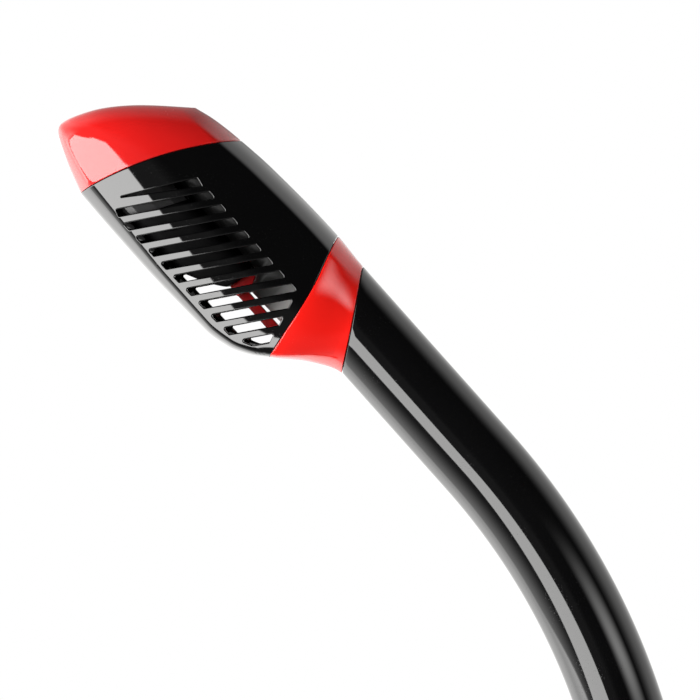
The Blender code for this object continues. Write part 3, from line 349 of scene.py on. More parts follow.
def shell(name, p, wall, mat, matrix, inner=None, rims=(True, True), r=0.35, sharp=40, skip=1):
    """A closed shell: outer grid p, inner grid offset by wall, and rounded rims."""
    n = grid_normals(p)
    rows = [p]
    outer = p
    if rims[0]:
        outer = np.concatenate([rounded_rim(p, n, 0, r), p[skip:]])
    if rims[1]:
        outer = np.concatenate([outer[:-skip], rounded_rim(p, n, 1, r)])
    if inner is None:
        inner = p - n * wall
    cols = p.shape[1]
    points = np.concatenate([outer.reshape(-1, 3), inner.reshape(-1, 3)])
    faces = grid_faces(len(outer), cols)
    base = len(outer) * cols
    faces += grid_faces(len(inner), cols, start=base, flip=True)
    last, ilast = (len(outer) - 1) * cols, base + (len(inner) - 1) * cols
    for j in range(cols):
        k = (j + 1) % cols
        faces.append((base + j, base + k, k, j))
        faces.append((last + j, last + k, ilast + k, ilast + j))
    return mesh_of(name, points, faces, mat, matrix, sharp)


def loft(name, rings, mat, matrix=None, caps=True, sharp=32):
    n = len(rings[0])
    pts = [p for r in rings for p in r]
    faces = grid_faces(len(rings), n)
    if caps:
        faces.append(tuple(range(n - 1, -1, -1)))
        faces.append(tuple((len(rings) - 1) * n + i for i in range(n)))
    return mesh_of(name, pts, faces, mat, matrix, sharp)


def closed_loft(name, rings, mat, matrix=None, sharp=32):
    """Rings skinned into a closed torus-like surface: the last joins the first."""
    n = len(rings[0])
    pts = [p for r in rings for p in r]
    faces = grid_faces(len(rings), n)
    last = (len(rings) - 1) * n
    for j in range(n):
        faces.append((last + j, last + (j + 1) % n, (j + 1) % n, j))
    return mesh_of(name, pts, faces, mat, matrix, sharp)


def filleted(profile, r=0.4, steps=4, closed=False):
    """A (radius, height) outline with its corners rounded. A point may carry its own radius as a third value."""
    n = len(profile)
    out = []
    for i, p in enumerate(profile):
        if not closed and i in (0, n - 1):
            out.append((p[0], p[1]))
            continue
        a, b = Vector(profile[i - 1][:2]), Vector(profile[(i + 1) % n][:2])
        c = Vector(p[:2])
        rr = p[2] if len(p) > 2 else r
        da, db = a - c, b - c
        la, lb = da.length, db.length
        da, db = da / la, db / lb
        ang = math.acos(max(-1, min(1, da.dot(db))))
        if rr <= 0 or ang > 3.1:
            out.append((c.x, c.y))
            continue
        d = min(rr / math.tan(ang / 2), 0.48 * la, 0.48 * lb)
        rr = d * math.tan(ang / 2)
        mid = c + (da + db).normalized() * (rr / math.sin(ang / 2))
        s, e = c + da * d - mid, c + db * d - mid
        total = math.atan2(s.x * e.y - s.y * e.x, s.dot(e))
        for j in range(steps + 1):
            t = total * j / steps
            out.append((mid.x + s.x * math.cos(t) - s.y * math.sin(t), mid.y + s.x * math.sin(t) + s.y * math.cos(t)))
    return out


def turned(name, profile, mat, matrix=None, steps=96, closed=False, sharp=32, wave=None):
    """A turned solid. wave(angle, radius, z) gives a small change of radius."""
    rings = []
    for i in range(steps):
        a = 2 * math.pi * i / steps
        ring = []
        for r, z in profile:
            rr = r + (wave(a, r, z) if wave and r > 0 else 0)
            ring.append((rr * math.cos(a), rr * math.sin(a), z))
        rings.append(ring)
    n = len(profile)
    pts = [p for r in rings for p in r]
    faces = []
    for i in range(steps):
        for j in range(n if closed else n - 1):
            a, b = i * n + j, i * n + (j + 1) % n
            c, d = ((i + 1) % steps) * n + (j + 1) % n, ((i + 1) % steps) * n + j
            faces.append((a, b, c, d))
    return mesh_of(name, pts, faces, mat, matrix, sharp)


def prism(name, outline, y0, y1, mat, matrix=None, r=0.0, sharp=32, steps=3):
    """A flat outline in x-z drawn out from y0 to y1, its two edges rounded by r."""
    area = sum(outline[i][0] * outline[(i + 1) % len(outline)][1] - outline[(i + 1) % len(outline)][0] * outline[i][1] for i in range(len(outline)))
    sign = 1 if area > 0 else -1
    n = len(outline)
    normals = []
    for i in range(n):
        ax, az = outline[i - 1]
        bx, bz = outline[i]
        cx, cz = outline[(i + 1) % n]
        n1, n2 = Vector((bz - az, ax - bx)), Vector((cz - bz, bx - cx))
        if n1.length:
            n1.normalize()
        if n2.length:
            n2.normalize()
        m = (n1 + n2) * sign
        normals.append(m * (1 / max(m.length_squared / 2, 0.3)))
    rings = []
    spans = [(y0 + r * (1 - math.cos(t)), r * (1 - math.sin(t))) for t in [math.pi / 2 * i / steps for i in range(steps + 1)]] if r else [(y0, 0)]
    spans = spans + [(y0 + y1 - y, d) for y, d in reversed(spans)]
    for y, d in spans:
        rings.append([(x - nn.x * d, y, z - nn.y * d) for (x, z), nn in zip(outline, normals)])
    return loft(name, rings, mat, matrix, True, sharp)


def boolean(obj, others, op="DIFFERENCE", sharp=32, keep=False, weld=2e-6):
    for c in others:
        m = obj.modifiers.new("bool", "BOOLEAN")
        m.operation = op
        m.object = c
        m.solver = "EXACT"
    bpy.context.view_layer.update()
    graph = bpy.context.evaluated_depsgraph_get()
    mesh = bpy.data.meshes.new_from_object(obj.evaluated_get(graph))
    obj.modifiers.clear()
    old = obj.data
    obj.data = mesh
    bpy.data.meshes.remove(old)
    for c in others:
        if not keep:
            bpy.data.objects.remove(c)
    tidy(obj, sharp, weld=weld)
    return obj


def applied(obj, sharp=None):
    bpy.context.view_layer.update()
    graph = bpy.context.evaluated_depsgraph_get()
    mesh = bpy.data.meshes.new_from_object(obj.evaluated_get(graph))
    obj.modifiers.clear()
    obj.data = mesh
    if sharp is not None:
        tidy(obj, sharp)
    return obj


def bevelled(obj, width, segments=3, angle=35, sharp=None):
    m = obj.modifiers.new("edge", "BEVEL")
    m.width = width * MM
    m.segments = segments
    m.limit_method = "ANGLE"
    m.angle_limit = rad(angle)
    m.harden_normals = False
    return applied(obj, sharp or 40)


def joined(name, objs):
    """Several closed meshes as one object."""
    bm = bmesh.new()
    mats = []
    for o in objs:
        start = len(bm.faces)
        bm.from_mesh(o.data)
        bm.faces.ensure_lookup_table()
        index = []
        for m in o.data.materials:
            if m not in mats:
                mats.append(m)
            index.append(mats.index(m))
        for f in bm.faces[start:]:
            f.material_index = index[f.material_index] if index else 0
    mesh = bpy.data.meshes.new(name)
    bm.to_mesh(mesh)
    bm.free()
    for o in objs:
        bpy.data.objects.remove(o)
    return add_object(name, mesh, mats)


def ellipse(a, b, n, z=0.0, power=2.0, cx=0.0):
    out = []
    for i in range(n):
        t = 2 * math.pi * i / n
        c, s = math.cos(t), math.sin(t)
        out.append((cx + a * math.copysign(abs(c) ** (2 / power), c), b * math.copysign(abs(s) ** (2 / power), s), z))
    return out


def normals_ref(obj):
    """The smooth surface of a mesh before it is cut: its triangles, and the corner normals on them."""
    mesh = obj.data
    mesh.calc_loop_triangles()
    co = np.empty(len(mesh.vertices) * 3, np.float32)
    mesh.vertices.foreach_get("co", co)
    cn = np.empty(len(mesh.loops) * 3, np.float32)
    mesh.corner_normals.foreach_get("vector", cn)
    tri = np.array([t.vertices[:] for t in mesh.loop_triangles])
    loops = np.array([t.loops[:] for t in mesh.loop_triangles])
    co, cn = co.reshape(-1, 3) / MM, cn.reshape(-1, 3)
    return BVHTree.FromPolygons([tuple(p) for p in co.tolist()], [tuple(t) for t in tri.tolist()]), co, cn, tri, loops


def clean_normals(obj, refs, limit=0.01):
    """Corners that still lie on one of the uncut surfaces take that surface's normals."""
    mesh = obj.data
    own = np.empty(len(mesh.loops) * 3, np.float32)
    mesh.corner_normals.foreach_get("vector", own)
    own = own.reshape(-1, 3)
    found = {}

    def at_vertex(vi):
        out = []
        q = mesh.vertices[vi].co / MM
        for tree, co, cn, tri, loops in refs:
            for loc, nn, idx, dist in tree.find_nearest_range(q, limit)[:8]:
                a, b, c = (Vector(co[i]) for i in tri[idx])
                v0, v1, v2 = b - a, c - a, loc - a
                d00, d01, d11, d20, d21 = v0.dot(v0), v0.dot(v1), v1.dot(v1), v2.dot(v0), v2.dot(v1)
                den = d00 * d11 - d01 * d01
                if den > 1e-14:
                    y, z = (d11 * d20 - d01 * d21) / den, (d00 * d21 - d01 * d20) / den
                    i, j, k = loops[idx]
                    out.append(((1 - y - z) * Vector(cn[i]) + y * Vector(cn[j]) + z * Vector(cn[k])).normalized())
        return out

    for p in mesh.polygons:
        for li in p.loop_indices:
            vi = mesh.loops[li].vertex_index
            if vi not in found:
                found[vi] = at_vertex(vi)
            fits = [(n.dot(p.normal), n) for n in found[vi]]
            fits = [f for f in fits if f[0] > 0.93]
            if fits:
                own[li] = max(fits, key=lambda f: f[0])[1]
    mesh.normals_split_custom_set(own.tolist())


# ================================================================ materials
class Net:
    """Short calls for building a node tree."""

    def __init__(self, tree):
        self.t = tree
        self.n = tree.nodes
        self.l = tree.links

    def put(self, kind, **sets):
        node = self.n.new(kind)
        for k, v in sets.items():
            setattr(node, k, v)
        return node

    def give(self, socket, value):
        if isinstance(value, bpy.types.NodeSocket):
            self.l.new(value, socket)
        elif value is not None:
            socket.default_value = value

    def math(self, op, a, b=None, c=None, clamp=False):
        node = self.put("ShaderNodeMath", operation=op, use_clamp=clamp)
        for s, v in zip(node.inputs, (a, b, c)):
            self.give(s, v)
        return node.outputs[0]

    def span(self, x, lo, hi, a=0.0, b=1.0, smooth=True):
        node = self.put("ShaderNodeMapRange", interpolation_type="SMOOTHSTEP" if smooth else "LINEAR")
        for s, v in zip(node.inputs, (x, lo, hi, a, b)):
            self.give(s, v)
        return node.outputs[0]

    def noise(self, coord, scale, detail=2.0, rough=0.5, distort=0.0):
        node = self.put("ShaderNodeTexNoise")
        self.give(node.inputs["Vector"], coord)
        node.inputs["Scale"].default_value = scale
        node.inputs["Detail"].default_value = detail
        node.inputs["Roughness"].default_value = rough
        node.inputs["Distortion"].default_value = distort
        return node.outputs["Fac"]

    def mix(self, fac, a, b):
        node = self.put("ShaderNodeMix", data_type="RGBA")
        self.give(node.inputs[0], fac)
        self.give(node.inputs[6], a)
        self.give(node.inputs[7], b)
        return node.outputs[2]


def new_material(name, rough, **principled):
    m = bpy.data.materials.new(name)
    m.use_nodes = True
    net = Net(m.node_tree)
    b = m.node_tree.nodes["Principled BSDF"]
    b.inputs["Roughness"].default_value = rough
    for k, v in principled.items():
        b.inputs[k.replace("_", " ")].default_value = v
    tex = net.put("ShaderNodeTexCoord")
    return m, net, b, tex.outputs["Object"]


def scratches(net, coord, scale=1.0):
    """Fine hairline scratches, few and short, in two directions: 1 on a scratch."""
    total = None
    for turn, seed in ((0.5, 3.1), (2.0, 11.7)):
        mp = net.put("ShaderNodeMapping")
        net.give(mp.inputs["Vector"], coord)
        mp.inputs["Rotation"].default_value = (turn * 0.4, turn, turn * 0.7)
        mp.inputs["Location"].default_value = (seed, seed * 0.3, 0)
        mp.inputs["Scale"].default_value = (2600 * scale, 120 * scale, 2600 * scale)
        n = net.noise(mp.outputs[0], 1.0, 1.0)
        line = net.span(n, 0.708, 0.74)
        total = line if total is None else net.math("MAXIMUM", total, line)
    few = net.span(net.noise(coord, 90 * scale, 2.0), 0.5, 0.62)
    return net.math("MULTIPLY", total, few)


def plastic(name, colour, rough, rough_spread=0.03, shade=0.06, peel=0.02, peel_scale=900, grain=0.0, grain_scale=2600, scratch=0.25, **principled):
    """Moulded plastic: slight flow variation in the colour, roughness that drifts, faint surface ripple, hairline scratches."""
    m, net, b, co = new_material(name, rough, **principled)
    slow = net.noise(co, 28, 3.0)
    dark = tuple(c * (1 - shade) for c in colour) + (1,)
    lit = tuple(min(1, c * (1 + shade)) for c in colour) + (1,)
    net.give(b.inputs["Base Color"], net.mix(net.span(slow, 0.3, 0.7), dark, lit))
    smudge = net.span(net.noise(co, 75, 4.0, 0.6), 0.42, 0.72)
    sc = scratches(net, co)
    r = net.math("MULTIPLY_ADD", smudge, rough_spread, rough)
    r = net.math("MULTIPLY_ADD", sc, scratch, r, clamp=True)
    net.give(b.inputs["Roughness"], r)
    h = net.math("MULTIPLY", net.noise(co, peel_scale, 2.0), peel)
    if grain:
        h = net.math("MULTIPLY_ADD", net.noise(co, grain_scale, 3.0, 0.6), grain, h)
    h = net.math("MULTIPLY_ADD", sc, -0.02, h)
    bump = net.put("ShaderNodeBump")
    bump.inputs["Strength"].default_value = 0.6
    bump.inputs["Distance"].default_value = 0.0001
    net.give(bump.inputs["Height"], h)
    net.give(b.inputs["Normal"], bump.outputs[0])
    return m


def rubber(name, colour, rough=0.5, grain=0.25, bloom=0.5, **principled):
    """Silicone or rubber: matt, with a fine moulded grain and a pale dusty bloom in patches."""
    m, net, b, co = new_material(name, rough, **principled)
    patch = net.span(net.noise(co, 55, 4.0, 0.6), 0.45, 0.75)
    pale = tuple(min(1, c * (1 + bloom) + 0.008 * bloom) for c in colour) + (1,)
    net.give(b.inputs["Base Color"], net.mix(patch, colour + (1,), pale))
    net.give(b.inputs["Roughness"], net.math("MULTIPLY_ADD", patch, 0.14, rough, clamp=True))
    h = net.math("MULTIPLY_ADD", net.noise(co, 2400, 3.0, 0.6), grain, net.math("MULTIPLY", net.noise(co, 420, 2.0), 0.15))
    bump = net.put("ShaderNodeBump")
    bump.inputs["Strength"].default_value = 0.5
    bump.inputs["Distance"].default_value = 0.0001
    net.give(bump.inputs["Height"], h)
    net.give(b.inputs["Normal"], bump.outputs[0])
    return m


def brushed_steel(name):
    m, net, b, co = new_material(name, 0.28, Metallic=1.0)
    mp = net.put("ShaderNodeMapping")
    net.give(mp.inputs["Vector"], co)
    mp.inputs["Scale"].default_value = (400, 9000, 400)
    streak = net.noise(mp.outputs[0], 1.0, 3.0)
    net.give(b.inputs["Base Color"], net.mix(streak, (0.5, 0.5, 0.51, 1), (0.66, 0.66, 0.68, 1)))
    net.give(b.inputs["Roughness"], net.span(streak, 0.2, 0.8, 0.2, 0.38))
    bump = net.put("ShaderNodeBump")
    bump.inputs["Strength"].default_value = 0.3
    bump.inputs["Distance"].default_value = 0.00005
    net.give(bump.inputs["Height"], streak)
    net.give(b.inputs["Normal"], bump.outputs[0])
    return m


RED = (0.76, 0.0120, 0.0072)
BLACK = (0.0008, 0.0008, 0.0009)
red = plastic("gloss_red_abs", RED, 0.05, 0.03, 0.03, 0.02, 700)
# the cap is the same red plastic as red; its darker base colour is painted shade
red_cap_painted_shade = plastic("gloss_red_abs_cap_painted_shade", (0.56, 0.0090, 0.0080), 0.05, 0.03, 0.03, 0.02, 700, Specular_IOR_Level=0.66)
# the collar is the same red plastic as red; its brighter base colour is painted light
red_collar_painted_light = plastic("gloss_red_abs_collar_painted_light", (0.90, 0.0125, 0.0080), 0.05, 0.03, 0.03, 0.02, 700)
red_in = plastic("inner_red", (0.55, 0.006, 0.008), 0.3, 0.1, 0.08, 0.05, 500)
black = plastic("gloss_black_abs", BLACK, 0.035, 0.02, 0.15, 0.015, 500, Specular_IOR_Level=0.68)
tube_black = plastic("gloss_black_tube", (0.0022, 0.0022, 0.0024), 0.045, 0.02, 0.15, 0.02, 320)
satin = plastic("satin_black_nylon", (0.012, 0.012, 0.0125), 0.36, 0.1, 0.2, 0.03, 900, grain=0.5, grain_scale=2200, scratch=0.1)
silicone = rubber("black_silicone_rubber", (0.014, 0.014, 0.015))
clear = rubber("clear_silicone_rubber", (0.62, 0.66, 0.68), 0.32, 0.08, 0.05, Transmission_Weight=0.55, IOR=1.41)
pale = plastic("pale_duct_plastic", (0.42, 0.42, 0.41), 0.38, 0.1, 0.06, 0.05, 500, grain=0.2)
foam = rubber("float_foam_skin", (0.003, 0.003, 0.0033), 0.62, 0.7, 0.4, Specular_IOR_Level=0.12)
steel = brushed_steel("pin_steel_brushed")


# ================================================================ valve head shells
CREASES = (NF, NF + NS, 2 * (NF + NS + NB) - NF - NS, 2 * (NF + NS + NB) - NF)


def half_rows(make, ks, creases=CREASES, times=2):
    return eased(np.array([whole(make(k)) for k in ks], float), creases, times)


# grille housing
ks = [i / 76 for i in range(77)]
g_outer = half_rows(lambda k: body_half(k, GAP / 2, -GAP / 2), ks)
g_n = grid_normals(g_outer)
g_inner = g_outer - g_n * SHELL
g_inner[0, :, 2] = [seam2(v) + GAP / 2 for v in g_inner[0, :, 0]]
g_inner[-1, :, 2] = [seam1(v) - GAP / 2 for v in g_inner[-1, :, 0]]
g_skin = np.concatenate([rounded_rim(g_outer, g_n, 0, 0.3), g_outer[1:-1], rounded_rim(g_outer, g_n, 1, 0.3)])


def tree_of(p):
    rows, cols = p.shape[:2]
    tri = []
    for a, b, c, d in grid_faces(rows, cols):
        tri += [(a, b, c), (a, c, d)]
    return BVHTree.FromPolygons([tuple(q) for q in p.reshape(-1, 3)], tri), tri


skin_tree, skin_tri = tree_of(g_outer)
inner_tree, _ = tree_of(g_inner)


def side_y(tree, v, u):
    return tree.ray_cast(Vector((v, 60, u)), Vector((0, -1, 0)))[0].y


grille = [(-27.2, 64.6), (-25.7, 68.6), (-22.3, 70.2), (-2.6, 58.9), (-3.0, 53.0), (-4.6, 15.2), (-21.5, 9.9), (-24.6, 13.2), (-27.1, 18.6)]


def clip(poly, keep):
    out = []
    for a, b in zip(poly, poly[1:] + poly[:1]):
        ka, kb = keep(a), keep(b)
        if ka > 0:
            out.append(a)
        if ka * kb < 0:
            t = ka / (ka - kb)
            out.append((a[0] + (b[0] - a[0]) * t, a[1] + (b[1] - a[1]) * t))
    return out


def soft_outline(poly, r, steps=4, pitch=1.2):
    """A convex outline with rounded corners, as points with outward normals."""
    area = sum(poly[i][0] * poly[(i + 1) % len(poly)][1] - poly[(i + 1) % len(poly)][0] * poly[i][1] for i in range(len(poly)))
    if area < 0:
        poly = poly[::-1]
    # drop points that sit on top of each other
    poly = [p for i, p in enumerate(poly) if math.dist(p, poly[i - 1]) > 0.15]
    n = len(poly)
    arcs = []
    for i in range(n):
        a, c, b = Vector(poly[i - 1]), Vector(poly[i]), Vector(poly[(i + 1) % n])
        da, db = a - c, b - c
        la, lb = da.length, db.length
        da, db = da / la, db / lb
        ang = math.acos(max(-1, min(1, da.dot(db))))
        d = min(r / math.tan(ang / 2), 0.46 * la, 0.46 * lb)
        rr = d * math.tan(ang / 2)
        mid = c + (da + db).normalized() * (rr / math.sin(ang / 2)) if ang < 3.1 else c
        if ang >= 3.1:
            nn = Vector((-da.y, da.x))
            arcs.append([(c, Vector((db.y, -db.x)))])
            continue
        s, e = c + da * d - mid, c + db * d - mid
        total = math.atan2(s.x * e.y - s.y * e.x, s.dot(e))
        arc = []
        for j in range(steps + 1):
            t = total * j / steps
            nn = Vector((s.x * math.cos(t) - s.y * math.sin(t), s.x * math.sin(t) + s.y * math.cos(t)))
            arc.append((mid + nn, nn.normalized()))
        arcs.append(arc)
    out = []
    for i, arc in enumerate(arcs):
        out += arc
        p, q = arc[-1][0], arcs[(i + 1) % n][0][0]
        m = int((q - p).length / pitch)
        for j in range(1, m + 1):
            t = j / (m + 1)
            nn = (q - p).normalized()
            out.append((p + (q - p) * t, Vector((nn.y, -nn.x))))
    return out


EDGE_R = 0.36


def inside(points, poly):
    """Which of these (v, u) points lie in a polygon."""
    x, y = points[:, 0], points[:, 1]
    hit = np.zeros(len(points), bool)
    for (x0, y0), (x1, y1) in zip(poly, poly[1:] + poly[:1]):
        cross = (y0 > y) != (y1 > y)
        with np.errstate(divide="ignore", invalid="ignore"):
            at = (x1 - x0) * (y - y0) / (y1 - y0) + x0
        hit ^= cross & (x < at)
    return hit


def near(points, poly):
    """Distance of each point from a polygon's outline."""
    best = np.full(len(points), 1e9)
    for a, b in zip(poly, poly[1:] + poly[:1]):
        a, b = np.array(a), np.array(b)
        d = b - a
        t = np.clip(((points - a) @ d) / max(d @ d, 1e-12), 0, 1)
        best = np.minimum(best, np.linalg.norm(points - a - t[:, None] * d, axis=1))
    return best


def pierced(grid, base, i0, i1, j0, j1, outlines, ring_index):
    """Triangles, on the +y side, that fill rows i0..i1 and columns j0..j1 of a grid around the outlines.

    ring_index[k][m] is the mesh index of point m of outline k. Grid points keep their own index, base + i * cols + j."""
    cols = grid.shape[1]
    border = [(i0, j) for j in range(j0, j1)] + [(i, j1) for i in range(i0, i1)] + [(i1, j) for j in range(j1, j0, -1)] + [(i, j0) for i in range(i1, i0, -1)]
    core = [(i, j) for i in range(i0 + 1, i1) for j in range(j0 + 1, j1)]
    flat2 = np.array([grid[i, j][[0, 2]] for i, j in core])
    keep = np.ones(len(core), bool)
    for line in outlines:
        keep &= ~inside(flat2, line) & (near(flat2, line) > 0.22)
    core = [c for c, k in zip(core, keep) if k]
    coords = [tuple(grid[i, j][[0, 2]]) for i, j in border + core]
    index = [base + i * cols + j for i, j in border + core]
    n = len(border)
    edges = [(m, (m + 1) % n) for m in range(n)]
    for line, ids in zip(outlines, ring_index):
        start = len(coords)
        coords += line
        index += ids
        edges += [(start + m, start + (m + 1) % len(line)) for m in range(len(line))]
    got = delaunay_2d_cdt([Vector(c) for c in coords], edges, [], 0, 1e-6)
    gv, gf, origin = got[0], got[2], got[3]
    middle = np.array([np.mean([gv[v][:] for v in f], axis=0) for f in gf])
    good = inside(middle, [tuple(grid[i, j][[0, 2]]) for i, j in border])
    for line in outlines:
        good &= ~inside(middle, line)
    return [tuple(index[origin[v][0]] for v in f) for f, g in zip(gf, good) if g]


bands = []
for i in range(SLOTS):
    top_edge = 74.45 - i * SLOT_PITCH
    band = clip(grille, lambda p: top_edge - SLOT_SLOPE * (p[0] + 27.6) - p[1])
    band = clip(band, lambda p: p[1] - (top_edge - SLOT_OPEN - SLOT_SLOPE * (p[0] + 27.6)))
    if len(band) > 2:
        bands.append(band)
bands[0] = [(-24.4, 71.0), (-2.7, 58.3), (-3.3, 55.6)]          # the top slot tapers to a point
outlines = [soft_outline(band, 0.42 if i else 0.14, steps=4, pitch=0.9) for i, band in enumerate(bands)]
arc = [(-EDGE_R * (1 - math.cos(a)), EDGE_R * (1 - math.sin(a))) for a in (0.0, 0.35, 0.7, 1.05, 1.35, math.pi / 2)]
rows_o, rows_i, cols = len(g_skin), len(g_inner), g_skin.shape[1]
verts = [tuple(p) for p in g_skin.reshape(-1, 3)] + [tuple(p) for p in g_inner.reshape(-1, 3)]
inner_base = rows_o * cols
J0, J1, J2 = NF - 2, NF + NS - 12, NF - 7
I0, I1 = 5, rows_o - 7
K0, K1 = 1, rows_i - 3
outer_ids, inner_ids = {1: [], -1: []}, {1: [], -1: []}
faces = []
for line in outlines:
    for side in (1, -1):
        rings = []
        for h, o in arc:
            rings.append([(p.x + n.x * o, side * (side_y(skin_tree, p.x + n.x * o, p.y + n.y * o) + h), p.y + n.y * o) for p, n in line])
        rings.append([(p.x, side * side_y(inner_tree, p.x, p.y), p.y) for p, n in line])
        start, m = len(verts), len(line)
        verts += [q for r in rings for q in r]
        outer_ids[side].append(list(range(start, start + m)))
        inner_ids[side].append(list(range(start + (len(rings) - 1) * m, start + len(rings) * m)))
        faces += grid_faces(len(rings), m, start=start)
outer_lines = [[(verts[i][0], verts[i][2]) for i in ids] for ids in outer_ids[1]]
inner_lines = [[(verts[i][0], verts[i][2]) for i in ids] for ids in inner_ids[1]]


def mirror_index(i):
    """The mesh index of the point across the plane of symmetry."""
    if i < inner_base + rows_i * cols:
        b = 0 if i < inner_base else inner_base
        r, c = divmod(i - b, cols)
        return b + r * cols + (cols - c) % cols
    return flip_of[i]


flip_of = {}
for a, b in zip(outer_ids[1] + inner_ids[1], outer_ids[-1] + inner_ids[-1]):
    flip_of.update(zip(a, b))
patch = pierced(g_skin, 0, I0, I1, J0, J1, outer_lines, outer_ids[1]) + pierced(g_inner, inner_base, K0, K1, J2, J1, inner_lines, inner_ids[1])
faces += patch + [tuple(mirror_index(i) for i in reversed(f)) for f in patch]
for base, rows, i0, i1, j0 in ((0, rows_o, I0, I1, J0), (inner_base, rows_i, K0, K1, J2)):
    for i in range(rows - 1):
        for j in range(cols):
            k = (j + 1) % cols
            left = j0 <= j < J1
            right = cols - J1 <= j < cols - j0
            if i0 <= i < i1 and (left or right):
                continue
            faces.append((base + i * cols + j, base + i * cols + k, base + (i + 1) * cols + k, base + (i + 1) * cols + j))
for j in range(cols):
    k = (j + 1) % cols
    faces.append((j, k, inner_base + k, inner_base + j))
    o, n = (rows_o - 1) * cols, inner_base + (rows_i - 1) * cols
    faces.append((o + j, o + k, n + k, n + j))
used = sorted({i for f in faces for i in f})
new_id = {i: n for n, i in enumerate(used)}
housing = mesh_of("housing_shell", [verts[i] for i in used], [tuple(new_id[i] for i in f) for f in faces], black, HEAD, 24)
bm = bmesh.new()
bm.from_mesh(housing.data)
print("housing: open edges", sum(len(e.link_faces) != 2 for e in bm.edges), "volume", bm.calc_volume() / MM**3, "faces", len(bm.faces))
bm.free()

# clean reflections: corners on the outer skin take the skin's own normals
flat, flat_n, tri, skin = g_outer.reshape(-1, 3), g_n.reshape(-1, 3), skin_tri, skin_tree
to_local = np.array(HEAD.inverted())
rot = np.array(HEAD.to_3x3())


def skin_normals(obj, limit=0.012):
    mesh = obj.data
    normals = np.empty(len(mesh.loops) * 3, np.float32)
    mesh.corner_normals.foreach_get("vector", normals)
    normals = normals.reshape(-1, 3)
    pn = np.array([p.normal[:] for p in mesh.polygons]) @ rot
    cache = {}
    for p in mesh.polygons:
        for li in p.loop_indices:
            vi = mesh.loops[li].vertex_index
            if vi not in cache:
                w = np.array(mesh.vertices[vi].co) / MM
                q = to_local[:3, :3] @ w + to_local[:3, 3]
                loc, nn, idx, dist = skin.find_nearest(Vector(q))
                hit = None
                if dist < limit:
                    a, b, c = tri[idx]
                    A, B, C = flat[a], flat[b], flat[c]
                    v0, v1, v2 = B - A, C - A, np.array(loc) - A
                    d00, d01, d11, d20, d21 = v0 @ v0, v0 @ v1, v1 @ v1, v2 @ v0, v2 @ v1
                    den = d00 * d11 - d01 * d01
                    if den > 1e-12:
                        y, z = (d11 * d20 - d01 * d21) / den, (d00 * d21 - d01 * d20) / den
                        hit = (1 - y - z) * flat_n[a] + y * flat_n[b] + z * flat_n[c]
                        hit /= np.linalg.norm(hit)
                cache[vi] = hit
            hit = cache[vi]
            if hit is not None and hit @ pn[p.index] > 0.975:
                normals[li] = rot @ hit
    mesh.normals_split_custom_set(normals.tolist())


skin_normals(housing)
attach(housing, "barrel")
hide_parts("grille_housing")

# cap
kc = [0, 0.03, 0.06] + [0.1 + 0.9 * i / 40 for i in range(41)]
c_outer = half_rows(lambda k: cap_half(k, GAP / 2), kc)
c_outer[-1, :, 1] = 0.0
c_n = grid_normals(c_outer[:-1])
ci = np.concatenate([c_outer[:-1] - c_n * SHELL])[:: 3]
ci = ci[: len(ci) - 3]
ci[0, :, 2] = [seam1(v) + GAP / 2 for v in ci[0, :, 0]]
last = ci[-1].copy()
last[:, 1] = 0
last[:, 2] += 0.4
ci = np.concatenate([ci, last[None]])
outer = np.concatenate([rounded_rim(c_outer, grid_normals(c_outer[:3]), 0, 0.3), c_outer[1:]])
cols = outer.shape[1]
pts = np.concatenate([outer.reshape(-1, 3), ci.reshape(-1, 3)])
base = len(outer) * cols
faces = grid_faces(len(outer), cols) + grid_faces(len(ci), cols, start=base, flip=True)
faces += [(base + j, base + (j + 1) % cols, (j + 1) % cols, j) for j in range(cols)]
cap = mesh_of("cap_shell", pts, faces, red_cap_painted_shade, HEAD, 50)
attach(cap, "barrel")
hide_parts("top_cap")

# collar
kk = [i / 40 for i in range(41)]
s_outer = half_rows(lambda k: collar_half(k), kk)
s_n = grid_normals(s_outer)
s_inner = s_outer[::3].copy()
for row in s_inner:
    mid_v, half_v, half_y = (row[:, 0].max() + row[:, 0].min()) / 2, (row[:, 0].max() - row[:, 0].min()) / 2, row[:, 1].max()
    row[:, 0] = mid_v + (row[:, 0] - mid_v) * (1 - 2.2 / half_v)
    row[:, 1] *= 1 - 2.2 / half_y
s_inner[0, :, 2] = [seam3(v) + GAP / 2 for v in s_inner[0, :, 0]]
s_inner[-1, :, 2] = [seam2(v) - GAP / 2 for v in s_inner[-1, :, 0]]
collar = shell("collar_shell", s_outer, 2.2, red_collar_painted_light, HEAD, inner=s_inner, r=0.3)


def inset_ring(half, d, height):
    vf, vb = half[0][0], half[-1][0]
    mid = (vf + vb) / 2
    kv, ky = 1 - d / ((vb - vf) / 2), 1 - d / HALF_MID
    return whole([(mid + (v - mid) * kv, y * ky, height(mid + (v - mid) * kv)) for v, y, u in half])


floor_tool = loft("collar_floor", [inset_ring(collar_half(0.8), 1.1, lambda v: seam2(v) - 3.4), inset_ring(collar_half(0.92), 1.1, lambda v: seam2(v) - 0.9)], red_in, HEAD)
spigot = turned("collar_spigot", filleted([(10.4, 9.0), (10.4, -24.0), (9.0, -24.0), (9.0, 9.0)], 0.3, closed=True), red_in, BARREL_TOP, 72, closed=True)
bore_tool = turned("collar_bore", [(0, 40.0), (8.6, 40.0), (8.6, -40.0), (0, -40.0)], red_in, BARREL_TOP, 72)
groove = turned("oring_groove", [(14.0, -18.5), (14.0, -20.3), (9.65, -20.3), (9.65, -18.5)], red_in, BARREL_TOP, 72, closed=True)
refs = [normals_ref(collar)]
boolean(collar, [floor_tool, spigot], "UNION", 40)
boolean(collar, [bore_tool, groove], sharp=40)
clean_normals(collar, refs)
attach(collar, "barrel")
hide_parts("collar")

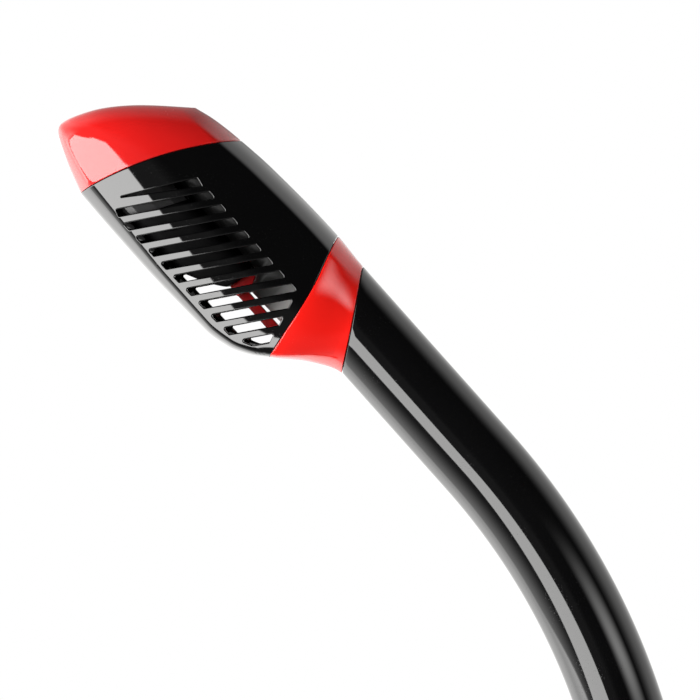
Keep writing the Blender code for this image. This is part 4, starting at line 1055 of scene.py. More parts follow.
# ================================================================ barrel
def barrel_line(s):
    """Centre and heading (degrees of lean) at s mm up from the barrel's lower end."""
    if s < END_STRAIGHT:
        return barrel_end[0] - tail_dir[0] * s, barrel_end[1] - tail_dir[1] * s, -TAIL
    arc = BEND_R * rad(LEAN + TAIL)
    if s < END_STRAIGHT + arc:
        d = -TAIL + math.degrees((s - END_STRAIGHT) / BEND_R)
        x, z = bend_point(d)
        return x, z, d
    t = s - END_STRAIGHT - arc
    return bend_top[0] + up_dir[0] * t, bend_top[1] + up_dir[1] * t, LEAN


def barrel_ring(s, r, n=112):
    x, z, d = barrel_line(s)
    c, e = math.cos(rad(d)), math.sin(rad(d))
    return [(x - r * math.cos(t) * c, PLANE_Y + r * math.sin(t), z - r * math.cos(t) * e) for t in (2 * math.pi * i / n for i in range(n))]


def barrel_rows(r, n=112):
    arc = BEND_R * rad(LEAN + TAIL)
    total = END_STRAIGHT + arc + STRAIGHT
    stop = total - 26.0
    rows = [barrel_ring(s, r, n) for s in [stop * i / 120 for i in range(121)]]
    half = tube_ring_on_seam(r, [math.pi * i / (n // 2) for i in range(n // 2 + 1)], -GAP / 2)
    m = np.array(HEAD)
    ring = np.array(whole(half)) @ m[:3, :3].T + m[:3, 3]
    first = np.array(rows[-1])
    for i in range(1, 13):
        rows.append(first + (ring - first) * (i / 12))
    return np.array(rows, float)


b_outer = barrel_rows(TUBE_R)
b_inner = barrel_rows(TUBE_R - TUBE_WALL)
barrel = shell("barrel_shell", b_outer, TUBE_WALL, tube_black, None, inner=b_inner[::2], r=0.35)
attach(barrel, "barrel")
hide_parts("barrel_tube")


# ================================================================ inside the head
def rounded_rect(x0, x1, z0, z1, r, n=5):
    out = []
    for cx, cz, a0 in ((x1 - r, z1 - r, 0), (x0 + r, z1 - r, 90), (x0 + r, z0 + r, 180), (x1 - r, z0 + r, 270)):
        out += [(cx + r * math.cos(rad(a0 + 90 * i / n)), cz + r * math.sin(rad(a0 + 90 * i / n))) for i in range(n + 1)]
    return out


def rot(deg, axis):
    return Matrix.Rotation(rad(deg), 4, axis)


def place(obj, body, node):
    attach(obj, body)
    for n in node if isinstance(node, tuple) else (node,):
        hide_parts(n)


def to_core(v, u):
    dv, du = v - CORE_V, u - CORE_U
    return dv * math.cos(core_t) - du * math.sin(core_t), dv * math.sin(core_t) + du * math.cos(core_t)


def core_deck(c):
    x0, z0 = to_core(DECK_V, DECK_U)
    return z0 - math.tan(rad(DECK_TILT) - core_t) * (c - x0)


def deck_u(v):
    return DECK_U - math.tan(rad(DECK_TILT)) * (v - DECK_V)


# the float: a moulded block with a rounded foot and a waist line
F_FRONT, F_BACK, F_B, F_LOW = -10.5, 7.2, 10.6, 3.9
fc, fa = (F_FRONT + F_BACK) / 2, (F_BACK - F_FRONT) / 2
foot = curve_through([(-10.5, 20.0), (-9.4, 17.7), (-8.1, 15.0), (-6.3, 11.4), (-4.2, 7.7), (-1.6, F_LOW + 0.5), (0.6, F_LOW), (4.0, F_LOW), (8.0, F_LOW)])


def float_ring(d, height):
    return [(x, y, height(x)) for x, y, _ in ellipse(fa - d, F_B - d, 88, cx=fc, power=4.0)]


def float_cap(d, height, ks):
    return [[(fc + (x - fc) * k, y * k, height(fc + (x - fc) * k)) for x, y, _ in ellipse(fa - d, F_B - d, 88, cx=fc, power=4.0)] for k in ks]


def float_top(x):
    return core_deck(x) - FLOAT_TRAVEL - 3.0


turn = [math.pi / 2 * i / 5 for i in range(6)]
rows = float_cap(0.5, foot, (0.04, 0.2, 0.4, 0.6, 0.8, 0.94))
rows += [float_ring(0.5 * (1 - math.sin(t)), lambda x, t=t: foot(x) + 0.5 * (1 - math.cos(t))) for t in turn]
mix = lambda k: (lambda x: foot(x) * (1 - k) + float_top(x) * k)
for k, d in ((0.28, 0), (0.5, 0), (0.715, 0), (0.72, 0.3), (0.733, 0.45), (0.746, 0.3), (0.751, 0), (0.85, 0)):
    rows.append(float_ring(d, mix(k)))
rows += [float_ring(1.0 * (1 - math.cos(t)), lambda x, t=t: float_top(x) - 1.0 * (1 - math.sin(t))) for t in turn]
rows += float_cap(1.0, float_top, (0.94, 0.8, 0.6, 0.4, 0.2, 0.04))
float_piece = loft("float_block", rows, foam, CORE, True, 40)
pin_bore = turned("float_bore", [(0, 24.5), (1.85, 24.5), (1.85, 5.0), (2.3, 4.4), (2.3, -10.0), (0, -10.0)], foam, CORE, 48)
rail_groove = prism("float_groove", rounded_rect(6.2, 12.0, -2.0, 60.0, 0.3), -1.5, 1.5, foam, CORE)
boolean(float_piece, [pin_bore, rail_groove], sharp=40)
place(float_piece, "float", "float_body")

# its seal: a soft oval pad with a raised lip
SEAT_A, SEAT_B = 5.6, 8.4
seal_x = to_core(-17.6, deck_u(-17.6))[0]
seal_rows = []
for d, h in ((4.6, 1.25), (3.0, 1.25), (2.2, 1.3), (1.7, 1.65), (1.2, 1.8), (0.6, 1.8), (0.2, 1.65), (0, 1.35), (0, 0.5), (0.25, 0.25), (3.0, 0.25), (4.6, 0.25)):
    seal_rows.append([(x, y, float_top(x) + h) for x, y, _ in ellipse(SEAT_A + 0.6 - d, SEAT_B + 1.0 - d, 72, cx=seal_x)])
seal = loft("float_pad", seal_rows, clear, CORE, True, 40)
place(seal, "float", "float_seal")

# the guide: post, saddle and pin
post_low = to_core(-17.6, 12.2)[1]
guide = prism("guide_post", rounded_rect(-1.5, 1.5, post_low, 2.0, 0.45), -1.9, 1.9, red_in, CORE, r=0.25)
saddle = prism("guide_saddle", filleted([(-1.5, 0.4), (4.2, 0.4), (6.2, 1.4), (6.2, 3.2), (5.7, 3.6), (-1.0, 3.6), (-1.5, 3.1)], 0.45, closed=True), -5.2, 5.2, red_in, CORE, r=0.25)
guide_pin = turned("guide_pin", filleted([(0, 21.5), (1.0, 21.5), (1.5, 20.8), (1.5, 3.0), (0, 3.0)], 0.3), red_in, CORE, 40)
boolean(guide, [saddle], "UNION", 40)
boolean(guide, [guide_pin], "UNION", 40)
place(guide, "barrel", "float_guide")


# the duct: wide at its foot, stepped back above, with a rail for the float
def ring_between(front, back, b, height, power=3.8, n=96):
    cx, a = (front + back) / 2, (back - front) / 2
    flat_, round_ = ellipse(a, b, n, cx=cx, power=power), ellipse(a, b, n, cx=cx, power=2.1)
    return np.array([(x, y, height(x)) for x, y, _ in (f if f[0] < cx - 1e-6 else r for f, r in zip(flat_, round_))])


keys = [ring_between(-15.0, 11.0, 12.4, lambda v: seam2(v) + 0.2, 2.4), ring_between(-14.9, 11.2, 12.6, lambda v: 24.4, 2.6),
        ring_between(-9.4, 11.4, 12.2, lambda v: 28.0), ring_between(-8.7, 11.2, 11.8, lambda v: 46.0),
        ring_between(-8.2, 9.4, 10.6, lambda v: deck_u(v) - 0.9)]
duct_rows = []
for i, (a, b) in enumerate(zip(keys, keys[1:])):
    m = 10 if i == 1 else 6
    for j in range(m):
        t = j / m
        e = t * t * (3 - 2 * t) if i == 1 else t
        row = a + (b - a) * e
        row[:, 2] = a[:, 2] + (b[:, 2] - a[:, 2]) * t
        duct_rows.append(row)
duct_rows.append(keys[-1])


def duct_painted_shade_material():
    """Pale at the foot, with painted shade in the colour: darker towards the top, where the float keeps the light off.
    """
    m, net, b, co = new_material("duct_plastic_painted_shade", 0.34, Specular_IOR_Level=0.1)
    xyz = net.put("ShaderNodeSeparateXYZ")
    net.give(xyz.inputs[0], co)
    a = rad(HEAD_LEAN)
    up = net.math("ADD", net.math("MULTIPLY", net.math("ADD", xyz.outputs[0], -HEAD_O[0] * MM), -math.sin(a)),
                  net.math("MULTIPLY", net.math("ADD", xyz.outputs[2], -HEAD_O[1] * MM), math.cos(a)))
    up = net.math("MULTIPLY_ADD", net.noise(co, 60, 2.0), 0.002, up)
    # the ramp paints shade into the colour: pale grey at the foot, near black higher up the head
    ramp = net.put("ShaderNodeValToRGB")
    net.give(ramp.inputs[0], net.span(up, 0.0, 0.040, 0.0, 1.0, smooth=False))
    stops = ((0.2, 0.92), (0.33, 0.60), (0.44, 0.24), (0.51, 0.06), (0.60, 0.016), (0.72, 0.003))
    e = ramp.color_ramp.elements
    e[0].position, e[1].position = stops[0][0], stops[-1][0]
    e[0].color = (stops[0][1],) * 3 + (1,)
    e[1].color = (stops[-1][1],) * 3 + (1,)
    for p, c in stops[1:-1]:
        n = e.new(p)
        n.color = (c, c, c * 0.98, 1)
    net.give(b.inputs["Base Color"], ramp.outputs[0])
    net.give(b.inputs["Roughness"], net.span(net.noise(co, 90, 4.0, 0.6), 0.4, 0.75, 0.3, 0.46))
    bump = net.put("ShaderNodeBump")
    bump.inputs["Strength"].default_value = 0.4
    bump.inputs["Distance"].default_value = 0.0001
    net.give(bump.inputs["Height"], net.noise(co, 1100, 3.0))
    net.give(b.inputs["Normal"], bump.outputs[0])
    return m


duct_plastic = duct_painted_shade_material()
duct = shell("duct_tube", np.array(duct_rows), 1.3, duct_plastic, HEAD, r=0.3)
rail = prism("duct_rail", rounded_rect(6.55, 8.5, 3.6, core_deck(7.5) - 0.6, 0.3), -1.0, 1.0, duct_plastic, CORE, r=0.25)
boolean(duct, [rail], "UNION", 40)
place(duct, "barrel", "air_duct")

# ================================================================ strap keeper and buckle
ring_profile = filleted([(15.2, 8.5), (15.2, 6.4), (14.5, 5.7), (14.5, -5.7), (15.2, -6.4), (15.2, -8.5), (12.95, -8.5), (12.95, 8.5)], 0.35, closed=True)
dense = []
for p, q in zip(ring_profile, ring_profile[1:] + ring_profile[:1]):
    m = max(1, int(math.dist(p, q) / 1.4))
    dense += [(p[0] + (q[0] - p[0]) * j / m, p[1] + (q[1] - p[1]) * j / m) for j in range(m)]


def keeper_ribs(a, r, z):
    if r < 14.3 or abs(z) > 5.4:
        return 0
    return 0.42 * max(0.0, math.cos(a * 40)) ** 2 * min(1.0, (5.4 - abs(z)) / 0.6)


keeper = turned("keeper_band", dense, satin, ROOT, 240, closed=True, sharp=40, wave=keeper_ribs)
boss = turned("keeper_boss", filleted([(0, 17.2), (6.4, 17.2), (7.4, 14.6), (7.4, 13.4), (0, 13.4)], 0.5), satin, ROOT @ rot(90, "X"), 72)
boolean(keeper, [boss], "UNION", 40)
boss_bore = turned("boss_bore", [(0, 30), (2.9, 30), (2.9, 17.2), (2.35, 16.6), (2.35, 15.6), (3.9, 15.6), (3.9, 13.15), (0, 13.15)], satin, ROOT @ rot(90, "X"), 64)
boolean(keeper, [boss_bore], sharp=40)
place(keeper, "keeper", "keeper_ring")

stud = turned("stud", filleted([(0, 19.9), (4.3, 19.9), (4.3, 18.9), (2.05, 18.3), (2.05, 15.3), (3.6, 15.3), (3.6, 13.5), (0, 13.5)], 0.2), steel, ROOT @ rot(90, "X"), 64)
place(stud, "keeper", "swivel_stud")

buckle = prism("buckle_plate", rounded_rect(-20, 20, -18, 18, 5, 10), 0.0, 3.4, satin, None, r=0.7, steps=5)
tools = []
for side_ in (-1, 1):
    x = side_ * 13.6
    tools.append(prism("strap_slot", rounded_rect(x - 2.5, x + 2.5, -13.5, 13.5, 1.6, 6), -5.0, 8.0, satin))
    tools.append(prism("strap_slot_flare", rounded_rect(x - 3.0, x + 3.0, -14.0, 14.0, 2.0, 6), 2.9, 8.0, satin, None, r=0.0))
tools.append(turned("stud_pocket", [(0, 6.0), (3.1, 6.0), (3.1, 3.4), (2.5, 2.9), (4.6, 2.4), (4.6, 0.8), (0, 0.8)], satin, rot(-90, "X"), 56))
tools.append(prism("lever_window", rounded_rect(-3.6, 3.6, 5.4, 22.0, 0.5), 1.0, 6.0, satin))
tools.append(turned("pin_hole", [(0, 6.4), (0.95, 6.4), (0.95, -6.4), (0, -6.4)], satin, Matrix.Translation((0, 2.1, 12.0)) @ rot(90, "Y"), 32))
for t in tools:
    boolean(buckle, [t], sharp=40)
place(buckle, "buckle", "strap_buckle")

lever_line = filleted([(-0.9, 5.9), (-0.9, 8.0), (-1.05, 12.0), (-0.3, 16.4), (1.6, 20.6), (2.6, 20.2), (2.15, 18.6), (1.75, 18.4), (1.75, 17.2), (1.4, 17.0), (1.5, 15.8), (1.15, 12.0), (0.9, 8.0), (0.3, 5.9)], 0.3, closed=True)
lever = prism("lever_tongue", lever_line, -3.2, 3.2, red, Matrix.Translation((0, 2.2, 0)) @ rot(90, "Z"), r=0.18)
lever_hole = turned("lever_hole", [(0, 8), (0.82, 8), (0.82, -8), (0, -8)], red, Matrix.Translation((0, 2.1, 12.0)) @ rot(90, "Y"), 32)
boolean(lever, [lever_hole], sharp=40)
place(lever, "lever", "release_lever")
pin = turned("pivot_pin", filleted([(0, 6.0), (0.6, 6.0), (0.6, -6.0), (0, -6.0)], 0.2), steel, Matrix.Translation((0, 2.1, 12.0)) @ rot(90, "Y"), 32)
place(pin, "buckle", "lever_pin")

# ================================================================ hose
HOSE_R = HOSE_LEN / rad(HOSE_TURN)


def hose_point(s):
    if s <= 0:
        return barrel_end[0] + tail_dir[0] * s, barrel_end[1] + tail_dir[1] * s, TAIL
    if s <= HOSE_LEN:
        a0, a1 = rad(TAIL), rad(TAIL) + s / HOSE_R
        return (barrel_end[0] - HOSE_R * (math.cos(a0) - math.cos(a1)), barrel_end[1] - HOSE_R * (math.sin(a1) - math.sin(a0)), math.degrees(a1))
    x, z, deg_ = hose_point(HOSE_LEN)
    a = rad(deg_)
    return x - math.sin(a) * (s - HOSE_LEN), z - math.cos(a) * (s - HOSE_LEN), deg_


def hose_frame(s):
    x, z, d = hose_point(s)
    return tilted(x, PLANE_Y, z, -d)


def hose_ring(s, r, n=96):
    x, z, d = hose_point(s)
    a = rad(d)
    return [(x + r * math.cos(t) * math.cos(a), PLANE_Y + r * math.sin(t), z - r * math.cos(t) * math.sin(a)) for t in (2 * math.pi * i / n for i in range(n))]


def hose_r(s):
    """Outside radius: rounded crests and valleys between plain cuffs."""
    if s < 0 or s > HOSE_LEN:
        return 15.0
    wave = math.sin(2 * math.pi * (s * HOSE_PITCHES / HOSE_LEN - 0.5))
    crest = math.copysign(abs(wave) ** 0.7, wave)
    fade = min(1.0, s / 2.5, (HOSE_LEN - s) / 2.5)
    return 15.6 + 1.4 * crest * fade - 0.6 * (1 - fade)


out_rows = []
for i in range(5):
    t = math.pi / 2 * i / 4
    out_rows.append((-CUFF_TOP + 0.6 * (1 - math.cos(t)), 15.0 - 0.6 * (1 - math.sin(t))))
out_rows += [(-13.4, 15.0), (-13.0, 15.25), (-12.6, 15.25), (-12.3, 15.0), (-4.6, 15.0), (-4.3, 15.25), (-3.9, 15.25), (-3.6, 15.0), (-1.0, 15.0)]
steps_s = 16 * HOSE_PITCHES
out_rows += [(HOSE_LEN * i / steps_s, hose_r(HOSE_LEN * i / steps_s)) for i in range(steps_s + 1)]
e = HOSE_LEN
out_rows += [(e + 1.0, 15.0), (e + 2.6, 15.0), (e + 2.9, 15.25), (e + 3.3, 15.25), (e + 3.6, 15.0), (e + 11.0, 15.0), (e + 11.3, 15.25), (e + 11.7, 15.25), (e + 12.0, 15.0)]
for i in range(5):
    t = math.pi / 2 * i / 4
    out_rows.append((e + CUFF_LOW - 0.6 * (1 - math.sin(t)), 15.0 - 0.6 * (1 - math.cos(t))))
in_rows = [(-CUFF_TOP, 12.8), (-1.5, 12.8), (0.0, 12.9)]
in_rows += [(HOSE_LEN * i / (steps_s // 2), hose_r(HOSE_LEN * i / (steps_s // 2)) - 1.7) for i in range(1, steps_s // 2)]
in_rows += [(e, 12.9), (e + 1.5, 12.8), (e + CUFF_LOW, 12.8)]
hose = closed_loft("hose_tube", [hose_ring(s, r) for s, r in out_rows] + [hose_ring(s, r) for s, r in reversed(in_rows)], silicone, None, 50)
sx, sz, _ = hose_point(2.0)
ex, ez, _ = hose_point(58.0)
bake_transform(hose)
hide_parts("flex_hose")


def clamp(name, s0, s1, body, node, turned_by=0):
    """A moulded band clamp: ribbed strap with a ratchet block at the back."""
    mid, half = (s0 + s1) / 2, (s1 - s0) / 2
    frame_ = hose_frame(mid) @ rot(turned_by, "Z")
    prof = filleted([(17.0, half), (17.0, half - 1.4), (16.55, half - 1.8), (16.55, -half + 1.8), (17.0, -half + 1.4), (17.0, -half), (15.3, -half), (15.3, half)], 0.25, closed=True)
    band = turned(name, prof, satin, frame_, 120, closed=True, sharp=40,
                  wave=lambda a, r, z: 0.2 * max(0.0, math.cos(a * 60)) if r > 16.4 and abs(z) < half - 1.6 else 0)
    block = prism(name + "_block", rounded_rect(16.0, 19.4, -half - 0.1, half + 0.1, 0.7), -3.4, 3.4, satin, frame_, r=0.6)
    slot_ = prism(name + "_mouth", rounded_rect(16.9, 18.5, -half + 1.5, half - 1.5, 0.3), -6, 6, satin, frame_)
    boolean(block, [slot_], sharp=40)
    strap_end = prism(name + "_tail", rounded_rect(17.05, 18.2, -half + 1.7, half - 1.7, 0.3), -5.2, 4.4, satin, frame_, r=0.25)
    piece = joined(name + "_piece", [band, block, strap_end])
    tidy(piece, 40)
    place(piece, body, node)


clamp("clamp_upper", -12.0, -5.0, "hose", "hose_clamp_upper", 90)
clamp("clamp_lower", HOSE_LEN + 4.0, HOSE_LEN + 10.5, "chamber", "hose_clamp_lower")

# ================================================================ purge chamber
CHAMBER = hose_frame(HOSE_LEN + CUFF_LOW)
MOUTH = CHAMBER @ Matrix.Translation((0, 0, -16.5)) @ rot(-105, "Y")
PORT_X, PORT_Y = 9.4, 14.6
chamber = turned("chamber_wall", filleted([(0, 13.5), (12.2, 13.5, 0.3), (12.5, 13.1, 0.3), (12.5, -0.6, 0.2), (15.0, -1.2, 1.0), (16.9, -3.8, 2.5), (17.6, -7.5, 4.0), (17.6, -29.0, 0.2), (17.35, -29.3, 0.1),
                                           (17.35, -30.0, 0.1), (17.6, -30.3, 0.2), (17.6, -33.0, 0.3), (16.2, -33.4, 0.2), (16.2, -38.0, 0.3), (0, -38.0)], 0.3), black, CHAMBER, 144)
port_rows = []
for z in (6.0, 12.0, 15.0, 16.5, 17.6, 18.4, 19.2, 20.2, 21.4, 22.6, 31.2, 31.7, 31.92, 32.0):
    k = min(1.0, max(0.0, (21.6 - z) / 6.5))
    d = 2.6 * k * k - (0.5 * max(0.0, (z - 31.5) / 0.5) ** 2 if z > 31.5 else 0)
    port_rows.append(ellipse(PORT_X + d, PORT_Y + d * 0.8, 120, z=z))
port = loft("mouth_port", port_rows, black, MOUTH, True, 40)
refs = [normals_ref(chamber), normals_ref(port)]
boolean(chamber, [port], "UNION", 40)
well = turned("chamber_well", [(0, 20.0), (10.6, 20.0), (10.6, 0.5), (13.0, -2.0), (15.4, -5.5), (15.4, -31.5), (12.6, -31.5), (12.6, -32.8), (14.4, -32.8), (14.4, -45.0), (0, -45.0)], black, CHAMBER, 96)
port_bore = loft("port_bore", [ellipse(PORT_X - 1.8, PORT_Y - 1.8, 96, z=2.0), ellipse(PORT_X - 1.8, PORT_Y - 1.8, 96, z=40.0)], black, MOUTH)
boolean(chamber, [well], sharp=40)
boolean(chamber, [port_bore], sharp=40)
clean_normals(chamber, refs)
place(chamber, "chamber", "purge_chamber")


def fan(name, points, z0, z1, mat):
    area = sum(points[i][0] * points[(i + 1) % len(points)][1] - points[(i + 1) % len(points)][0] * points[i][1] for i in range(len(points)))
    if area < 0:
        points = points[::-1]
    return loft(name, [[(x, y, z0) for x, y in points], [(x, y, z1) for x, y in points]], mat, CHAMBER)


seat_plate = turned("seat_disc", filleted([(0, -33.1), (14.1, -33.1), (14.1, -35.0), (0, -35.0)], 0.25), satin, CHAMBER, 96)
for i in range(4):
    a0 = rad(90 * i + 12)
    arc_out = [(10.8 * math.cos(a0 + rad(t)), 10.8 * math.sin(a0 + rad(t))) for t in range(0, 67, 6)]
    arc_in = [(4.2 * math.cos(a0 + rad(t)), 4.2 * math.sin(a0 + rad(t))) for t in range(66, -1, -11)]
    boolean(seat_plate, [fan("seat_vent", filleted(arc_out + arc_in, 0.6, closed=True), -40.0, -30.0, satin)], sharp=40)
boolean(seat_plate, [turned("stem_hole", [(0, -30.0), (1.6, -30.0), (1.6, -40.0), (0, -40.0)], satin, CHAMBER, 32)], sharp=40)
place(seat_plate, "chamber", "purge_seat")

flap = turned("mushroom_valve", filleted([(0, -29.4), (1.9, -30.0), (1.9, -31.2), (1.2, -31.7), (1.2, -35.4), (12.6, -35.3), (12.7, -35.8), (9.5, -36.0), (9.2, -36.25), (8.6, -36.25), (8.3, -36.1), (4.0, -36.5), (0, -36.6)], 0.12), clear, CHAMBER, 96)
place(flap, "diaphragm", "purge_diaphragm")

cover_profile = filleted([(0, -46.0), (3.6, -46.0, 0.3), (3.9, -45.6, 0.2), (4.5, -45.6, 0.2), (4.8, -46.0, 0.3), (13.0, -46.0, 2.0), (16.4, -44.6, 1.6), (17.8, -41.6, 2.0), (17.9, -34.6, 0.3), (17.7, -33.8, 0.25),
                          (16.5, -33.8, 0.15), (16.5, -40.6), (15.0, -43.0), (12.4, -44.2), (0, -44.2)], 0.3)[::-1]
cover_dense = []
for p, q in zip(cover_profile, cover_profile[1:]):
    m = max(1, int(math.dist(p, q) / 1.1))
    cover_dense += [(p[0] + (q[0] - p[0]) * j / m, p[1] + (q[1] - p[1]) * j / m) for j in range(m)]
cover_dense.append(cover_profile[-1])


def cover_grip(a, r, z):
    """Shallow finger flutes round the cover's side."""
    if r < 16.9 or z < -42.5 or z > -34.8:
        return 0
    return -0.35 * max(0.0, math.cos(a * 18)) ** 2 * min(1.0, (z + 42.5) / 1.2, (-34.8 - z) / 1.2)


cover = turned("vented_cover", cover_dense, red, CHAMBER, 216, sharp=45, wave=cover_grip)
refs = [normals_ref(cover)]
for i in range(6):
    a = rad(60 * i + 30)
    pts = [(r * math.cos(a + d), r * math.sin(a + d)) for r, d in ((5.6, -0.2), (10.6, -0.34), (11.5, -0.18), (11.8, 0.0), (11.5, 0.18), (10.6, 0.34), (5.6, 0.2))]
    boolean(cover, [fan("cover_vent", filleted(pts, 0.8, closed=True), -50.0, -42.0, red)], sharp=45)
clean_normals(cover, refs)
place(cover, "chamber", "purge_cover")

# ================================================================ mouthpiece
def bowed(z, y):
    return z - 0.011 * y * y


sleeve_rows = []
for z, dx, dy in ((23.0, 1.8, 1.8), (23.15, 2.2, 2.2), (23.5, 2.4, 2.4), (25.4, 2.4, 2.4), (30.6, 2.4, 2.4), (33.4, 2.4, 2.4), (35.0, 2.15, 2.3), (37.0, 1.55, 2.0), (39.0, 1.0, 1.8), (42.0, 0.35, 1.55), (45.0, -0.2, 1.4), (47.0, -0.4, 1.4)):
    sleeve_rows.append(ellipse(PORT_X + dx, PORT_Y + dy, 112, z=z))
mouth = loft("mouth_sleeve", sleeve_rows, silicone, MOUTH, True, 40)


def shield_slice(y):
    w_ = 13.4 * (1 - (abs(y) / 29.6) ** 2.6) ** (1 / 2.6)
    mid, th = bowed(47.8, y), 1.2
    out = []
    for s_, a0 in ((1, -90), (-1, 90)):
        for i in range(9):
            a = rad(a0 + 180 * i / 8)
            out.append((s_ * (w_ - th) + th * math.cos(a), y, mid + th * math.sin(a)))
    return out


shield = loft("lip_shield", [shield_slice(29.2 * math.sin(rad(90 * i / 24))) for i in range(-24, 25)], silicone, MOUTH, True, 40)
parts_m = [shield]
for side_ in (-1, 1):
    rows = []
    for zz, k in ((47.0, 1.0), (50.0, 0.96), (54.0, 0.9), (57.0, 0.85), (59.0, 0.82)):
        rows.append([(x * k, side_ * (19.0 + y * k), bowed(zz, side_ * (19.0 + y * k))) for x, y in rounded_rect(-1.6, 1.6, -5.4, 5.6, 1.2, 4)])
    parts_m.append(loft("bite_wing", rows, silicone, MOUTH, True, 40))
    rows = []
    for zz, d in ((57.6, 0.9), (57.9, 0.35), (58.5, 0.0), (59.5, 0.0), (60.1, 0.35), (60.4, 0.9)):
        rows.append([(x, side_ * (19.0 + y), bowed(zz, side_ * (19.0 + y))) for x, y in rounded_rect(-5.0 + d, 5.0 - d, -5.0 + d, 5.2 - d, 1.8, 4)])
    parts_m.append(loft("bite_pad", rows, silicone, MOUTH, True, 40))
    for nx in (-3.0, 0.0, 3.0):
        for ny in (-2.4, 0.2, 2.8):
            yy = side_ * (19.0 + ny)
            parts_m.append(turned("bite_nub", [(0, bowed(59.0, yy)), (0.8, bowed(59.0, yy)), (0.75, bowed(60.6, yy)), (0.45, bowed(60.85, yy)), (0, bowed(60.95, yy))][::-1], silicone,
                                  MOUTH @ Matrix.Translation((nx, yy, 0)), 16))
mouth = joined("mouthpiece_soft", [mouth] + parts_m)
mod = mouth.modifiers.new("blend", "REMESH")
mod.mode = "VOXEL"
mod.voxel_size = 0.42 * MM
mod = mouth.modifiers.new("soften", "SMOOTH")
mod.factor, mod.iterations = 0.5, 5
applied(mouth, 60)
mouth_bore = loft("mouth_bore", [ellipse(PORT_X + 0.3, PORT_Y + 0.3, 96, z=15.0), ellipse(PORT_X + 0.3, PORT_Y + 0.3, 96, z=32.4), ellipse(PORT_X - 2.6, PORT_Y - 2.2, 96, z=35.0),
                                 ellipse(PORT_X - 3.2, PORT_Y - 2.4, 96, z=45.0), ellipse(PORT_X - 3.0, PORT_Y - 2.2, 96, z=48.2), ellipse(PORT_X - 2.0, PORT_Y - 1.2, 96, z=49.6), ellipse(PORT_X - 1.6, PORT_Y - 0.8, 96, z=56.0)], silicone, MOUTH)
boolean(mouth, [mouth_bore], sharp=60)
place(mouth, "chamber", "mouthpiece")

tie_rows = []
for z, d in ((26.0, 0.35), (26.1, 0.1), (26.35, 0.0), (29.45, 0.0), (29.7, 0.1), (29.8, 0.35)):
    ring = ellipse(PORT_X + 3.9 - d, PORT_Y + 3.9 - d, 160, z=z)
    tie_rows.append(ring)
tie_in = [ellipse(PORT_X + 2.7, PORT_Y + 2.7, 160, z=z) for z in (29.8, 26.0)]
tie = closed_loft("tie_strap", tie_rows + tie_in, satin, MOUTH, 40)
head_block = prism("tie_block", rounded_rect(PORT_X + 2.9, PORT_X + 6.8, 25.4, 30.4, 0.8), -3.0, 3.0, satin, MOUTH, r=0.5)
head_slot = prism("tie_mouth", rounded_rect(PORT_X + 4.6, PORT_X + 6.0, 26.4, 29.4, 0.3), -6.0, 6.0, satin, MOUTH)
boolean(head_block, [head_slot], sharp=40)
tail = prism("tie_tail", rounded_rect(PORT_X + 4.75, PORT_X + 5.85, 26.6, 29.2, 0.3), -4.4, 4.0, satin, MOUTH, r=0.25)
tie = joined("tie_piece", [tie, head_block, tail])
tidy(tie, 40)
place(tie, "chamber", "mouthpiece_tie")

# ================================================================ CAD nodes that stay, all inside the head
for name, mat, slot_name in (("valve_deck", satin, "satin_black"), ("cap_gasket", silicone, "black_silicone"), ("seat_ring", red_in, "red"), ("spigot_oring", silicone, "black_silicone")):
    nodes[name].data.materials.clear()
    nodes[name].data.materials.append(mat)


# ================================================================ camera, floor and light
target = Vector((-0.0877, 0.021, 0.1648))
az, el, far = rad(-3.0), rad(1.2), 1.2
forward = Vector((math.sin(az) * math.cos(el), math.cos(az) * math.cos(el), -math.sin(el)))
cam = bpy.data.cameras.new("camera")
cam.angle = 2 * math.atan(0.1009 / far)
cam.clip_start, cam.clip_end = 0.01, 20
camera = bpy.data.objects.new("camera", cam)
camera.location = target - forward * far
camera.rotation_euler = forward.to_track_quat("-Z", "Y").to_euler()
scene.collection.objects.link(camera)
scene.camera = camera
scene.view_settings.view_transform = "Standard"
scene.view_settings.look = "None"

world = bpy.data.worlds.new("studio")
scene.world = world
world.use_nodes = True
w = Net(world.node_tree)
w.n.clear()
tc = w.put("ShaderNodeTexCoord")
sep = w.put("ShaderNodeSeparateXYZ")
w.give(sep.inputs[0], tc.outputs["Generated"])
X, Y, Z = sep.outputs
front = w.math("MAXIMUM", w.math("MULTIPLY", Y, -1.0), 0.001)
gx, gz = w.math("DIVIDE", X, front), w.math("DIVIDE", Z, front)
angle = w.math("ARCCOSINE", w.math("MINIMUM", w.math("MAXIMUM", w.math("MULTIPLY", Y, -1.0), -1.0), 1.0))       # from the camera's side
deg = w.math("MULTIPLY", angle, 180 / math.pi)
# how far a direction turns towards the lower left, from 0 to 1
side = w.math("MAXIMUM", w.math("SQRT", w.math("ADD", w.math("MULTIPLY", X, X), w.math("MULTIPLY", Z, Z))), 0.001)
ll = w.math("DIVIDE", w.math("ADD", w.math("MULTIPLY", X, -0.80), w.math("MULTIPLY", Z, -0.60)), side)
lower_left = w.span(ll, 0.1, 0.75)
# pale surroundings behind the object, dim room on the camera's side
dim = w.span(w.math("ADD", w.math("MULTIPLY", gx, -0.80), w.math("MULTIPLY", gz, -0.60)), -0.15, 0.2, 0.034, 0.18)
upward = w.span(w.math("DIVIDE", Z, side), 0.74, 0.97)
room = w.math("ADD", w.math("MULTIPLY", w.span(deg, 76.0, 112.0, 0.0, 1.1), w.math("SUBTRACT", 1.0, w.math("MULTIPLY", upward, 0.75))), dim)
